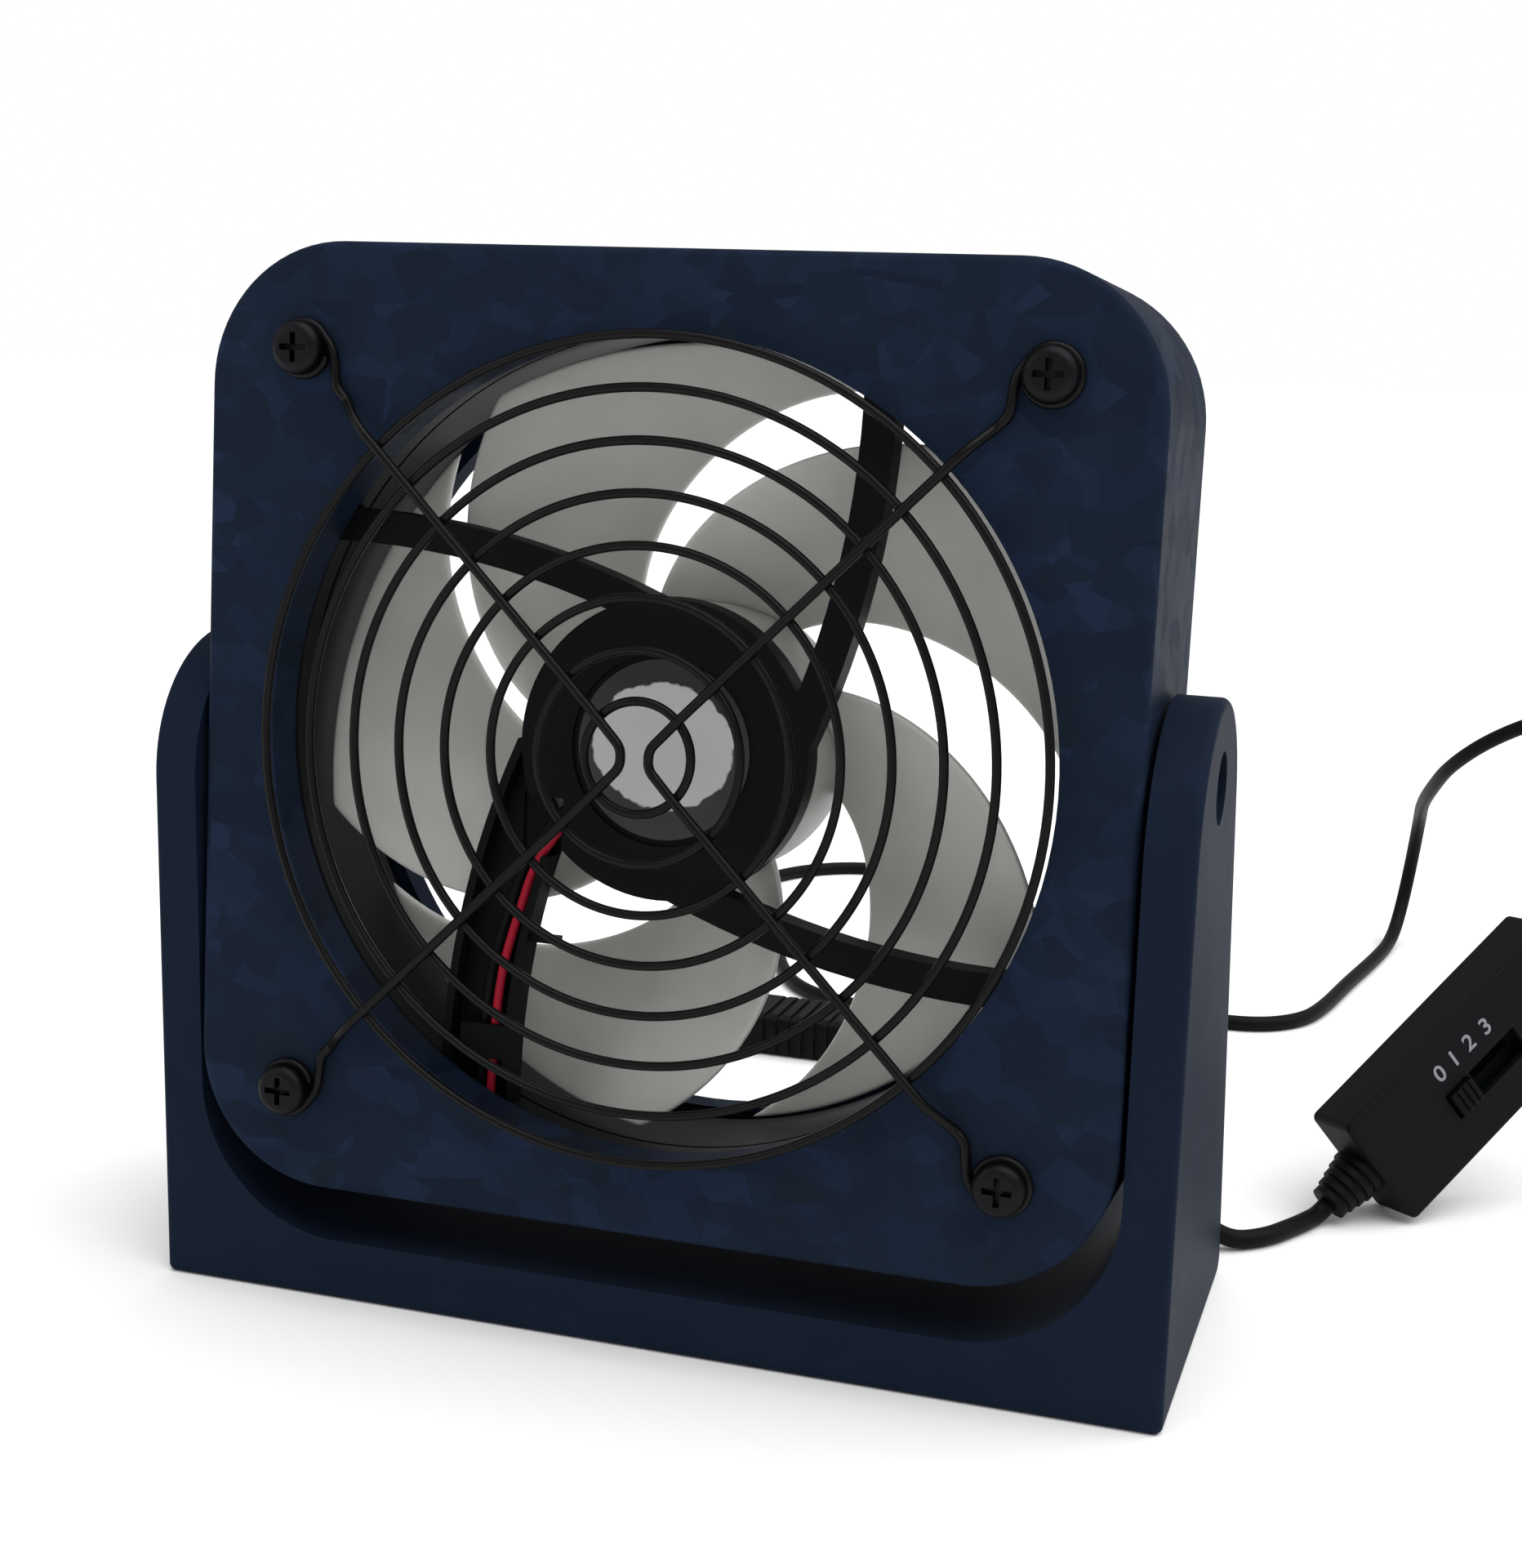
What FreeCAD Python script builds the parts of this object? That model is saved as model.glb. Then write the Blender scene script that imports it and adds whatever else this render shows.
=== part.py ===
import FreeCAD, Part
import math
import os

# Small desk fan: a 120 mm axial fan in a rounded-square head that tilts in a U stand,
# with a cord, an in-line speed controller and a USB plug.
# Millimetres. X to the right, Y away from the viewer, Z up. The origin is the middle of the
# stand's underside, which rests on the table.

V = FreeCAD.Vector
X_AXIS, Y_AXIS, Z_AXIS = V(1, 0, 0), V(0, 1, 0), V(0, 0, 1)

# ---- stand ----
STAND_WIDTH = 150.0
STAND_DEPTH = 60.0            # at the base
STAND_TOP = 96.0
BASE_THICKNESS = 9.2
ARM_THICKNESS = 6.9
REAR_LEAN_DEG = 14.4          # the rear faces lean forwards as they rise
INNER_CORNER_R = 22.0
STAND_EDGE_R = 1.2
HEEL_R = 3.0                  # lower rear edge

# ---- head, in its own frame: x right, y back, z up from the pivot ----
PIVOT_Y, PIVOT_Z = -10.0, 84.0
REST_TILT_DEG = 4.23          # the head's top leans back at rest
HEAD_SIZE = 134.6
HEAD_DEPTH = 36.0
HEAD_CORNER_R = 20.0
HEAD_EDGE_R = 1.2
OPENING_R = 56.5
FRONT_THICKNESS = 6.5
POCKET_SIZE = 120.8
REAR_PLATE_SIZE = 120.2
REAR_PLATE_CORNER_R = 5.7

# ---- pivots ----
PIVOT_SHANK_R = 2.5
PIVOT_HOLE_R = 2.56
PIVOT_RECESS_R = 5.0
PIVOT_RECESS_DEPTH = 3.4
PIVOT_HEAD_R = 4.4
PIVOT_HEAD_HEIGHT = 2.0
INSERT_R = 3.6
INSERT_LENGTH = 5.6
WASHER_R = 6.5

# ---- 120 mm fan ----
FAN_SIZE = 120.0
FAN_DEPTH = 25.0
FAN_CORNER_R = 6.0
FLANGE_THICKNESS = 4.0
DUCT_R = 57.5
DUCT_WALL = 1.6
HOLE_SPACING = 105.0
HOLE_R = 2.25
MOTOR_BASE_R = 21.0
MOTOR_BASE_THICKNESS = 2.0
LABEL_R = 12.6
LABEL_RECESS_R = 13.4
STRUT_WIDTH = 4.6
CABLE_STRUT_OUTSIDE = 3.5     # the wide strut's reach either side of the shared centre line
CABLE_STRUT_INSIDE = 7.2
CHANNEL_WALL = 1.2
STRUT_DEPTH = 4.4
STRUT_INNER, STRUT_MIDDLE, STRUT_OUTER = V(18.6, 0, 2.0), V(25.6, 0, 24.0), V(28.4, 0, 49.6)
BEARING_TUBE_R = 4.6
SLEEVE_R = 3.4
SHAFT_R = 1.5
STATOR_R = 14.9
CORE_LENGTH = 6.0
YOKE_R = 18.6
YOKE_WALL = 1.0
MAGNET_WALL = 1.8

# ---- impeller ----
BLADE_COUNT = 5
HUB_R = 20.3
BLADE_TIP_R = 56.2
BLADE_THICKNESS = 1.7         # along the shaft
BLADE_CAMBER = 1.6
# Blade rows from inside the hub to past the tip: radius, angle of the leading edge, angle
# of the trailing edge, and how far both edges are drawn in from the blade's full depth.
BLADE_ROWS = ((17.0, 129.5, 176.5, 0.0), (28.0, 112.0, 162.3, 0.2), (38.0, 95.6, 148.4, 0.7),
              (48.0, 79.6, 134.2, 1.5), (58.5, 58.5, 118.4, 2.8))

# ---- guard ----
RING_COUNT = 8
FIRST_RING_R = 7.6
RING_PITCH = 6.9
RING_WIRE_R = 0.65
SPOKE_WIRE_R = 0.68
LOOP_WIRE_R = 0.72
RING_STANDOFF = 3.0           # the rings' centre in front of the head's face
WELD_SINK = 0.25
APEX_X = 2.0                  # the two bent wires come this near the centre line
LOOP_R = 3.6
SCREW_SHANK_R = 2.0
SCREW_HEAD_R = 3.7
SCREW_HEAD_HEIGHT = 2.4
NUT_ACROSS = 7.0
NUT_THICKNESS = 3.2
NUT_POCKET_ACROSS = 7.2
SCREW_BOSS_R = 4.5            # left standing in the rear plate where the leads turn the corner

# ---- leads inside the head ----
LEAD_R = 0.65
LEAD_PITCH = 1.7
GROOVE_DEPTH = 2.0            # in the rear plate's front face, for the two leads
GROOVE_REACH = 3.8            # from the pocket's wall inwards

# ---- cord, gland, controller and plug ----
CORD_R = 1.5
LOW = 1.55                    # height of the cord's centre where it lies on the table
GLAND_X = 63.85
GLAND_SHAFT_R = 2.2
GLAND_BASE_R = 3.4
GLAND_LENGTH = 10.0
GLAND_DEPTH = 6.0
GLAND_CLEARANCE = 0.3
CONTROLLER_LENGTH = 50.0
CONTROLLER_WIDTH = 21.3
CONTROLLER_THICKNESS = 10.6
CONTROLLER_CORNER_R = 1.2
CONTROLLER_EDGE_R = 0.8
CONTROLLER_WALL = 1.3
BOARD_Z, BOARD_THICKNESS = -3.0, 1.0
SWITCH_TOP = 1.6
CONTROLLER_X, CONTROLLER_Y = 108.0, 73.2
CONTROLLER_YAW, CONTROLLER_RISE, CONTROLLER_ROLL = 44.0, 38.2, 80.5
RELIEF_LENGTH = 8.4
RELIEF_TIP_R, RELIEF_BASE_R = 2.9, 4.7
RELIEF_NECK_R = 2.6
RELIEF_FLANGE_R = 3.6
SLIDER_TRAVEL = 11.1          # four places, 3.7 mm apart
SLIDER_START = -5.2           # from the controller's middle to the slider at rest
SLIDER_Y = -1.0               # the slot runs to one side of the middle, below its marks
KNOB_LENGTH, KNOB_WIDTH = 5.0, 4.4
KNOB_PROUD = 1.2
PLUG_X, PLUG_Y = 8.0, 109.3
PLUG_HEADING_DEG = 180.0
PLUG_GRIP_LENGTH, PLUG_GRIP_WIDTH, PLUG_GRIP_HEIGHT = 30.0, 15.6, 8.2
PLUG_TAIL_LENGTH = 10.0
PLUG_SHELL_LENGTH, PLUG_SHELL_WIDTH, PLUG_SHELL_HEIGHT = 12.0, 12.0, 4.5
PLUG_SHELL_WALL = 0.3

HALF_WIDTH = STAND_WIDTH / 2
HALF_STAND_DEPTH = STAND_DEPTH / 2
ARM_INNER_X = HALF_WIDTH - ARM_THICKNESS
HALF_HEAD = HEAD_SIZE / 2
HALF_DEPTH = HEAD_DEPTH / 2
HALF_POCKET = POCKET_SIZE / 2
HALF_HOLE = HOLE_SPACING / 2
CORNERS = [(x, z) for x in (-HALF_HOLE, HALF_HOLE) for z in (-HALF_HOLE, HALF_HOLE)]
FAN_FRONT = -HALF_DEPTH + FRONT_THICKNESS
FAN_REAR = FAN_FRONT + FAN_DEPTH
MOTOR_FACE = FAN_FRONT + 0.2
MOTOR_BASE_BACK = MOTOR_FACE + MOTOR_BASE_THICKNESS
BOARD_FRONT = MOTOR_BASE_BACK + 1.6
CORE_FRONT = MOTOR_FACE + 8.0
CORE_BACK = CORE_FRONT + CORE_LENGTH
YOKE_FRONT, YOKE_BACK = MOTOR_FACE + 5.6, FAN_REAR - 2.6
SHAFT_FRONT = MOTOR_BASE_BACK + 0.6
CHANNEL_Y = FAN_FRONT + 1.9
CORD_EXIT_Y = HALF_DEPTH + GLAND_LENGTH + GLAND_CLEARANCE
HALF_LENGTH = CONTROLLER_LENGTH / 2
HALF_THICK = CONTROLLER_THICKNESS / 2
PIVOT = V(0, PIVOT_Y, PIVOT_Z)

os.makedirs("parts", exist_ok=True)


# ---------------------------------------------------------------- helpers
def save(name, shape):
    """Writes one sub-part; a list becomes a group of separate solids."""
    if isinstance(shape, list):
        shape = Part.makeCompound(shape)
    shape.exportStep("parts/" + name + ".step")
    print(name, "solids", len(shape.Solids), "volume", round(shape.Volume, 1), "valid", shape.isValid())


def box(x0, x1, y0, y1, z0, z1):
    return Part.makeBox(x1 - x0, y1 - y0, z1 - z0, V(x0, y0, z0))


def disc(radius, y0, y1, x=0.0, z=0.0):
    """Solid cylinder along Y from y0 to y1."""
    return Part.makeCylinder(radius, y1 - y0, V(x, y0, z), Y_AXIS)


def tube(outer, inner, y0, y1):
    return disc(outer, y0, y1).cut(disc(inner, y0 - 1, y1 + 1))


def along_x(radius, x0, x1):
    """Solid cylinder along X, such as the pivot axis in the head's frame."""
    return Part.makeCylinder(radius, x1 - x0, V(x0, 0, 0), X_AXIS)


def torus(radius, wire_r, y, x=0.0, z=0.0):
    return Part.makeTorus(radius, wire_r, V(x, y, z), Y_AXIS)


def edges_along(shape, axis):
    return [e for e in shape.Edges if abs(e.tangentAt(e.FirstParameter).dot(axis)) > 0.99
            and e.Curve.TypeId == "Part::GeomLine"]


def rounded_square(size, corner_r, y0, y1):
    """Square prism along Y with its four long edges rounded."""
    half = size / 2
    block = box(-half, half, y0, y1, -half, half)
    return block.makeFillet(corner_r, edges_along(block, Y_AXIS))


def hex_prism(across_flats, length, base, axis):
    corner_r = across_flats / math.sqrt(3)
    turns = [math.radians(60 * i) for i in range(7)]
    outline = Part.makePolygon([V(corner_r * math.cos(t), corner_r * math.sin(t), 0) for t in turns])
    prism = Part.Face(outline).extrude(V(0, 0, length))
    prism.Placement = FreeCAD.Placement(base, FreeCAD.Rotation(Z_AXIS, axis))
    return prism


def turned(shape, angle_deg):
    """A copy turned about the Y axis; positive is clockwise for the viewer."""
    copy = shape.copy()
    copy.rotate(V(0, 0, 0), Y_AXIS, angle_deg)
    return copy


def fused(shapes):
    return shapes[0].multiFuse(shapes[1:]).removeSplitter()


def both_sides(shape):
    return [shape, shape.mirror(V(0, 0, 0), X_AXIS)]


def to_head(shape):
    """Places a shape made in the head's frame: leans it back and lifts it to the pivot."""
    copy = shape.copy()
    copy.rotate(V(0, 0, 0), X_AXIS, -REST_TILT_DEG)
    copy.translate(PIVOT)
    return copy


def save_in_head(name, shape):
    if isinstance(shape, list):
        save(name, [to_head(s) for s in shape])
    else:
        save(name, to_head(shape))


def route_wire(points, ratio=0.45):
    """Straight runs joined by tangent arcs; returns the wire and the arcs' radii."""
    edges, radii = [], []
    last = points[0]
    for before, corner, after in zip(points, points[1:], points[2:]):
        back, ahead = before - corner, after - corner
        turn = math.pi - back.getAngle(ahead)
        setback = ratio * min(back.Length, ahead.Length)
        radius = setback / math.tan(turn / 2)
        back.normalize()
        ahead.normalize()
        start, end = corner + back * setback, corner + ahead * setback
        inward = back + ahead
        inward.normalize()
        apex = corner + inward * (radius / math.cos(turn / 2) - radius)
        edges.append(Part.LineSegment(last, start).toShape())
        edges.append(Part.Arc(start, apex, end).toShape())
        radii.append(radius)
        last = end
    edges.append(Part.LineSegment(last, points[-1]).toShape())
    return Part.Wire(edges), radii


def sweep_round(wire, radius, start, direction):
    section = Part.Wire(Part.makeCircle(radius, start, direction))
    return wire.makePipeShell([section], True, False, 2)


def route_tube(name, points, radius):
    """Round tube along a route; prints its length, radii and volume check."""
    wire, radii = route_wire(points)
    solid = sweep_round(wire, radius, points[0], points[1] - points[0])
    expected = math.pi * radius ** 2 * wire.Length
    print(name, "length", round(wire.Length, 1), "radii", [round(r, 1) for r in radii],
          "volume ratio", round(solid.Volume / expected, 4))
    return solid


# ---------------------------------------------------------------- stand
def stand_side_view():
    """Outline in the YZ plane: upright front, rear leaning forwards, round top."""
    lean = math.tan(math.radians(REAR_LEAN_DEG))
    stretch = math.hypot(1, lean)
    radius = (STAND_DEPTH - lean * STAND_TOP) / (stretch + 1 - lean)
    centre = V(0, radius - HALF_STAND_DEPTH, STAND_TOP - radius)
    rear_touch = centre + V(0, radius / stretch, radius * lean / stretch)
    front_touch = centre - V(0, radius, 0)
    toe, heel = V(0, -HALF_STAND_DEPTH, 0), V(0, HALF_STAND_DEPTH, 0)
    return Part.Wire([
        Part.LineSegment(toe, heel).toShape(),
        Part.LineSegment(heel, rear_touch).toShape(),
        Part.Arc(rear_touch, centre + V(0, 0, radius), front_touch).toShape(),
        Part.LineSegment(front_touch, toe).toShape(),
    ])


def make_stand():
    profile = Part.Face(stand_side_view())
    profile.translate(V(-HALF_WIDTH, 0, 0))
    block = profile.extrude(V(STAND_WIDTH, 0, 0))
    heel = [e for e in edges_along(block, X_AXIS)
            if e.CenterOfMass.z < 0.01 and e.CenterOfMass.y > 0]
    block = block.makeFillet(HEEL_R, heel)
    margin = 10
    well = box(-ARM_INNER_X, ARM_INNER_X, -HALF_STAND_DEPTH - margin, HALF_STAND_DEPTH + margin,
               BASE_THICKNESS, STAND_TOP + margin)
    low_edges = [e for e in edges_along(well, Y_AXIS) if e.CenterOfMass.z < BASE_THICKNESS + 1]
    stand = block.cut(well.makeFillet(INNER_CORNER_R, low_edges))
    side_edges = [e for e in stand.Edges if abs(abs(e.CenterOfMass.x) - HALF_WIDTH) < 0.01]
    toe = [e for e in edges_along(stand, X_AXIS)
           if e.CenterOfMass.z < 0.01 and e.CenterOfMass.y < 0]
    stand = stand.makeFillet(STAND_EDGE_R, side_edges + toe)
    for side in (-1, 1):
        start = V(side * (HALF_WIDTH + 1), PIVOT_Y, PIVOT_Z)
        inward = V(-side, 0, 0)
        hole = Part.makeCylinder(PIVOT_HOLE_R, ARM_THICKNESS + 5, start, inward)
        recess = Part.makeCylinder(PIVOT_RECESS_R, PIVOT_RECESS_DEPTH + 1, start, inward)
        stand = stand.cut(hole).cut(recess)
    return stand


# ---------------------------------------------------------------- pivots, head frame
def make_pivot_screw():
    seat = HALF_WIDTH - PIVOT_RECESS_DEPTH + 0.08
    top = seat + PIVOT_HEAD_HEIGHT
    shank = along_x(PIVOT_SHANK_R, HALF_HEAD - INSERT_LENGTH + 0.6, seat + 0.5)
    screw_head = along_x(PIVOT_HEAD_R, seat, top)
    rim = [e for e in screw_head.Edges if e.BoundBox.XMin > top - 0.1]
    screw_head = screw_head.makeFillet(0.8, rim[:1])
    return shank.fuse(screw_head).cut(hex_prism(3.0, 1.6, V(top - 1.3, 0, 0), X_AXIS))


def make_pivot_insert():
    outer = along_x(INSERT_R, HALF_HEAD - INSERT_LENGTH, HALF_HEAD - 0.1)
    return outer.cut(along_x(PIVOT_SHANK_R, HALF_HEAD - INSERT_LENGTH + 0.6, HALF_HEAD + 1))


def make_pivot_washer():
    ring = along_x(WASHER_R, HALF_HEAD + 0.08, ARM_INNER_X)
    return ring.cut(along_x(PIVOT_HOLE_R, HALF_HEAD - 1, ARM_INNER_X + 1))


# ---------------------------------------------------------------- head housing
def make_housing():
    block = rounded_square(HEAD_SIZE, HEAD_CORNER_R, -HALF_DEPTH, HALF_DEPTH)
    rims = [e for e in block.Edges if abs(abs(e.CenterOfMass.y) - HALF_DEPTH) < 0.01]
    housing = block.makeFillet(HEAD_EDGE_R, rims)
    housing = housing.cut(rounded_square(POCKET_SIZE, FAN_CORNER_R, FAN_FRONT, HALF_DEPTH + 1))
    housing = housing.cut(disc(OPENING_R, -HALF_DEPTH - 1, FAN_FRONT + 1))
    for x, z in CORNERS:
        housing = housing.cut(disc(HOLE_R, -HALF_DEPTH - 1, FAN_FRONT + 1, x, z))
    for insert_hole in both_sides(along_x(INSERT_R, HALF_HEAD - INSERT_LENGTH, HALF_HEAD + 1)):
        housing = housing.cut(insert_hole)
    gland_hole = disc(GLAND_SHAFT_R, HALF_DEPTH - GLAND_DEPTH, HALF_DEPTH + 1, GLAND_X, 0)
    wire_slot = box(HALF_POCKET - 1, GLAND_X, HALF_DEPTH - 3.6, HALF_DEPTH - 1.4, -2.2, 2.2)
    return housing.cut(gland_hole).cut(wire_slot)


def make_rear_plate():
    """Closes the pocket behind the fan; grooved in front for the leads, pocketed behind for nuts."""
    front, rear = FAN_REAR, HALF_DEPTH
    plate = rounded_square(REAR_PLATE_SIZE, REAR_PLATE_CORNER_R, front, rear)
    plate = plate.cut(disc(OPENING_R, front - 1, rear + 1))
    for x, z in CORNERS:
        pocket = hex_prism(NUT_POCKET_ACROSS, NUT_THICKNESS + 1.2, V(x, rear - NUT_THICKNESS - 0.2, z), Y_AXIS)
        plate = plate.cut(disc(HOLE_R, front - 1, rear + 1, x, z)).cut(pocket)
    floor, edge = front + GROOVE_DEPTH, HALF_POCKET
    inner, corner_start = edge - GROOVE_REACH, HALF_HOLE - 2.5
    bottom = box(-46.0, edge, front - 1, floor, -edge, -inner)
    side = box(inner + 0.4, edge, front - 1, floor, -edge, -17.0)
    corner = box(corner_start, edge, front - 1, floor, -edge, -corner_start)
    corner = corner.cut(disc(SCREW_BOSS_R, front - 2, rear, HALF_HOLE, -HALF_HOLE))
    end = box(inner + 0.4, edge, front - 1, rear - 1.6, -18.0, 2.0)
    for groove in (bottom, side, corner, end):
        plate = plate.cut(groove)
    return plate


# ---------------------------------------------------------------- guard
def make_guard():
    face = -HALF_DEPTH
    ring_y = face - RING_STANDOFF
    spoke_y = ring_y - RING_WIRE_R - SPOKE_WIRE_R + WELD_SINK
    loop_y = face - LOOP_WIRE_R - 0.02
    wires = [torus(FIRST_RING_R + i * RING_PITCH, RING_WIRE_R, ring_y) for i in range(RING_COUNT)]
    loop_side = HALF_HOLE - LOOP_R / math.sqrt(2)
    step_out, step_in, bend = 45.6, 42.2, 6.5
    for side in (-1, 1):
        half = [V(side * loop_side, loop_y, loop_side), V(side * step_out, loop_y, step_out),
                V(side * step_in, spoke_y, step_in), V(side * bend, spoke_y, bend - 0.4),
                V(side * APEX_X, spoke_y, 1.3)]
        points = half + [V(p.x, p.y, -p.z) for p in reversed(half)]
        wire, _ = route_wire(points, 0.4)
        wires.append(sweep_round(wire, SPOKE_WIRE_R, points[0], points[1] - points[0]))
    wires += [torus(LOOP_R, LOOP_WIRE_R, loop_y, x, z) for x, z in CORNERS]
    return fused(wires)


def make_guard_screw(x, z):
    under_head = -HALF_DEPTH - 2 * LOOP_WIRE_R - 0.04
    front = under_head - SCREW_HEAD_HEIGHT
    screw_head = disc(SCREW_HEAD_R, front, under_head, x, z)
    rim = [e for e in screw_head.Edges if e.BoundBox.YMax < front + 0.1]
    screw_head = screw_head.makeFillet(1.5, rim[:1])
    tip = HALF_DEPTH - 0.1
    screw = screw_head.fuse(disc(SCREW_SHANK_R, under_head - 0.5, tip, x, z))
    arm, half_slot, depth = 2.0, 0.42, 1.3
    screw = screw.cut(box(x - arm, x + arm, front - 1, front + depth, z - half_slot, z + half_slot))
    return screw.cut(box(x - half_slot, x + half_slot, front - 1, front + depth, z - arm, z + arm))


def make_guard_nut(x, z):
    front = HALF_DEPTH - NUT_THICKNESS - 0.1
    nut = hex_prism(NUT_ACROSS, NUT_THICKNESS, V(x, front, z), Y_AXIS)
    return nut.cut(disc(SCREW_SHANK_R, front - 1, front + NUT_THICKNESS + 1, x, z))


# ---------------------------------------------------------------- fan frame
def strut_bar(outside, inside, front, back):
    """Gently curved bar of even width, clipped between the duct and the motor base."""
    arc = Part.Arc(STRUT_INNER, STRUT_MIDDLE, STRUT_OUTER).toShape()
    centre, radius = arc.Curve.Center, arc.Curve.Radius
    ring = disc(radius + outside, front, back, centre.x, centre.z)
    ring = ring.cut(disc(radius - inside, front - 1, back + 1, centre.x, centre.z))
    ring = ring.common(box(0, FAN_SIZE, front - 1, back + 1, 0, FAN_SIZE))
    ring = ring.common(disc(DUCT_R + 0.8, front - 1, back + 1))
    return ring.cut(disc(MOTOR_BASE_R - 1.0, front - 1, back + 1))


def make_fan_frame():
    front, rear = FAN_FRONT, FAN_REAR
    bars_front, bars_back = front + 0.2, front + 0.2 + STRUT_DEPTH
    front_flange = rounded_square(FAN_SIZE, FAN_CORNER_R, front, front + FLANGE_THICKNESS)
    rear_flange = rounded_square(FAN_SIZE, FAN_CORNER_R, rear - FLANGE_THICKNESS, rear)
    outer = fused([front_flange, rear_flange, disc(DUCT_R + DUCT_WALL, front, rear)])
    outer = outer.cut(disc(DUCT_R, front - 1, rear + 1))
    mouth = 2.6
    outer = outer.cut(Part.makeCone(DUCT_R + 1.2, DUCT_R, mouth, V(0, front, 0), Y_AXIS))
    outer = outer.cut(Part.makeCone(DUCT_R, DUCT_R + 1.6, mouth, V(0, rear - mouth, 0), Y_AXIS))
    outer = outer.cut(tube(DUCT_R + 0.5, DUCT_R - 1, front + 6.0, front + 6.7))
    for x, z in CORNERS:
        outer = outer.cut(disc(HOLE_R, front - 1, rear + 1, x, z))
    motor_base = disc(MOTOR_BASE_R, MOTOR_FACE, MOTOR_BASE_BACK)
    skirt = tube(MOTOR_BASE_R, MOTOR_BASE_R - 1.4, MOTOR_FACE, MOTOR_FACE + 4.4)
    bearing_tube = tube(BEARING_TUBE_R, SLEEVE_R, MOTOR_BASE_BACK - 0.5, MOTOR_BASE_BACK + 15)
    slim_bar = strut_bar(STRUT_WIDTH / 2, STRUT_WIDTH / 2, bars_front, bars_back)
    cable_bar = strut_bar(CABLE_STRUT_OUTSIDE, CABLE_STRUT_INSIDE, bars_front, bars_back)
    channel = strut_bar(CABLE_STRUT_OUTSIDE - CHANNEL_WALL, CABLE_STRUT_INSIDE - CHANNEL_WALL,
                        front - 1, bars_back - CHANNEL_WALL)
    bars = [turned(slim_bar, angle) for angle in (0, -90, 90)] + [turned(cable_bar.cut(channel), 180)]
    lead_clip = box(-29.0, -20.2, bars_front, bars_front + 0.8, -46.6, -41.6)
    hook = box(-21.0, -14.8, MOTOR_FACE + 1.4, MOTOR_FACE + 2.6, -29.2, -28.0)
    frame = fused([outer, motor_base, skirt, bearing_tube, lead_clip] + bars)
    frame = frame.fuse(hook.cut(turned(channel, 180)))
    label_recess = disc(LABEL_RECESS_R, MOTOR_FACE - 1, MOTOR_FACE + 0.5)
    lead_notch = box(-21.6, -14.4, MOTOR_FACE - 1, MOTOR_FACE + 3.7, -16.5, -8.0)
    front_notch = box(-29.8, -21.5, front - 1, front + FLANGE_THICKNESS - 0.8, -HALF_POCKET, -48.0)
    edge_notch = box(-31.5, -21.5, front - 1, front + FLANGE_THICKNESS + 1, -HALF_POCKET, -53.8)
    rear_notch = box(-46.5, -39.5, rear - FLANGE_THICKNESS - 1, rear + 1, -HALF_POCKET, -56.2)
    for gap in (label_recess, lead_notch, front_notch, edge_notch, rear_notch):
        frame = frame.cut(gap)
    return frame


def make_label():
    return disc(LABEL_R, MOTOR_FACE + 0.25, MOTOR_FACE + 0.5)


# ---------------------------------------------------------------- impeller
def blade_point(radius, lead, trail, inset, t):
    """Point of the blade's sheet: t runs from the leading edge to the trailing edge."""
    first, last = FAN_REAR - 2.6 - BLADE_THICKNESS, FAN_FRONT + 5.6
    y = first - inset + (last - first + 2 * inset) * t + BLADE_CAMBER * math.sin(math.pi * t)
    angle = math.radians(lead + (trail - lead) * t)
    return V(radius * math.cos(angle), y, radius * math.sin(angle))


def make_blade():
    steps = 8
    grid = [[blade_point(*row, i / steps) for i in range(steps + 1)] for row in BLADE_ROWS]
    sheet = Part.BSplineSurface()
    sheet.interpolate(grid)
    slab = sheet.toShape().extrude(V(0, BLADE_THICKNESS, 0))
    return slab.common(tube(BLADE_TIP_R, HUB_R - 0.8, FAN_FRONT, FAN_REAR))


def make_impeller():
    hub_front, hub_back = MOTOR_FACE + 5.2, FAN_REAR - 0.8
    hub = disc(HUB_R, hub_front, hub_back)
    back_rim = [e for e in hub.Edges if e.BoundBox.YMin > hub_back - 0.1]
    hub = hub.makeFillet(1.6, back_rim[:1])
    hub = hub.cut(disc(YOKE_R, hub_front - 1, YOKE_BACK))
    blade = make_blade()
    blades = [turned(blade, 360.0 / BLADE_COUNT * i) for i in range(BLADE_COUNT)]
    return fused([hub] + blades)


def make_yoke():
    cup = disc(YOKE_R, YOKE_FRONT, YOKE_BACK)
    cup = cup.cut(disc(YOKE_R - YOKE_WALL, YOKE_FRONT - 1, YOKE_BACK - YOKE_WALL))
    return cup.cut(disc(SHAFT_R, YOKE_BACK - 2, YOKE_BACK + 1))


def make_magnet():
    outer = YOKE_R - YOKE_WALL
    return tube(outer, outer - MAGNET_WALL, YOKE_FRONT + 0.4, YOKE_BACK - 2.4)


def make_shaft():
    shaft = disc(SHAFT_R, SHAFT_FRONT, YOKE_BACK)
    return shaft.cut(tube(SHAFT_R + 1, SHAFT_R - 0.4, SHAFT_FRONT + 0.6, SHAFT_FRONT + 1.2))


def make_clip():
    clip = tube(SHAFT_R + 1.2, SHAFT_R - 0.4, SHAFT_FRONT + 0.65, SHAFT_FRONT + 1.15)
    return clip.cut(box(-0.5, 0.5, SHAFT_FRONT, SHAFT_FRONT + 2, 0, 4))


# ---------------------------------------------------------------- motor, fixed side
def make_bearing():
    return tube(SLEEVE_R, SHAFT_R + 0.04, SHAFT_FRONT + 2.0, SHAFT_FRONT + 13.0)


def four_around(shape):
    return [turned(shape, 90 * i + 45) for i in range(4)]


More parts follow.
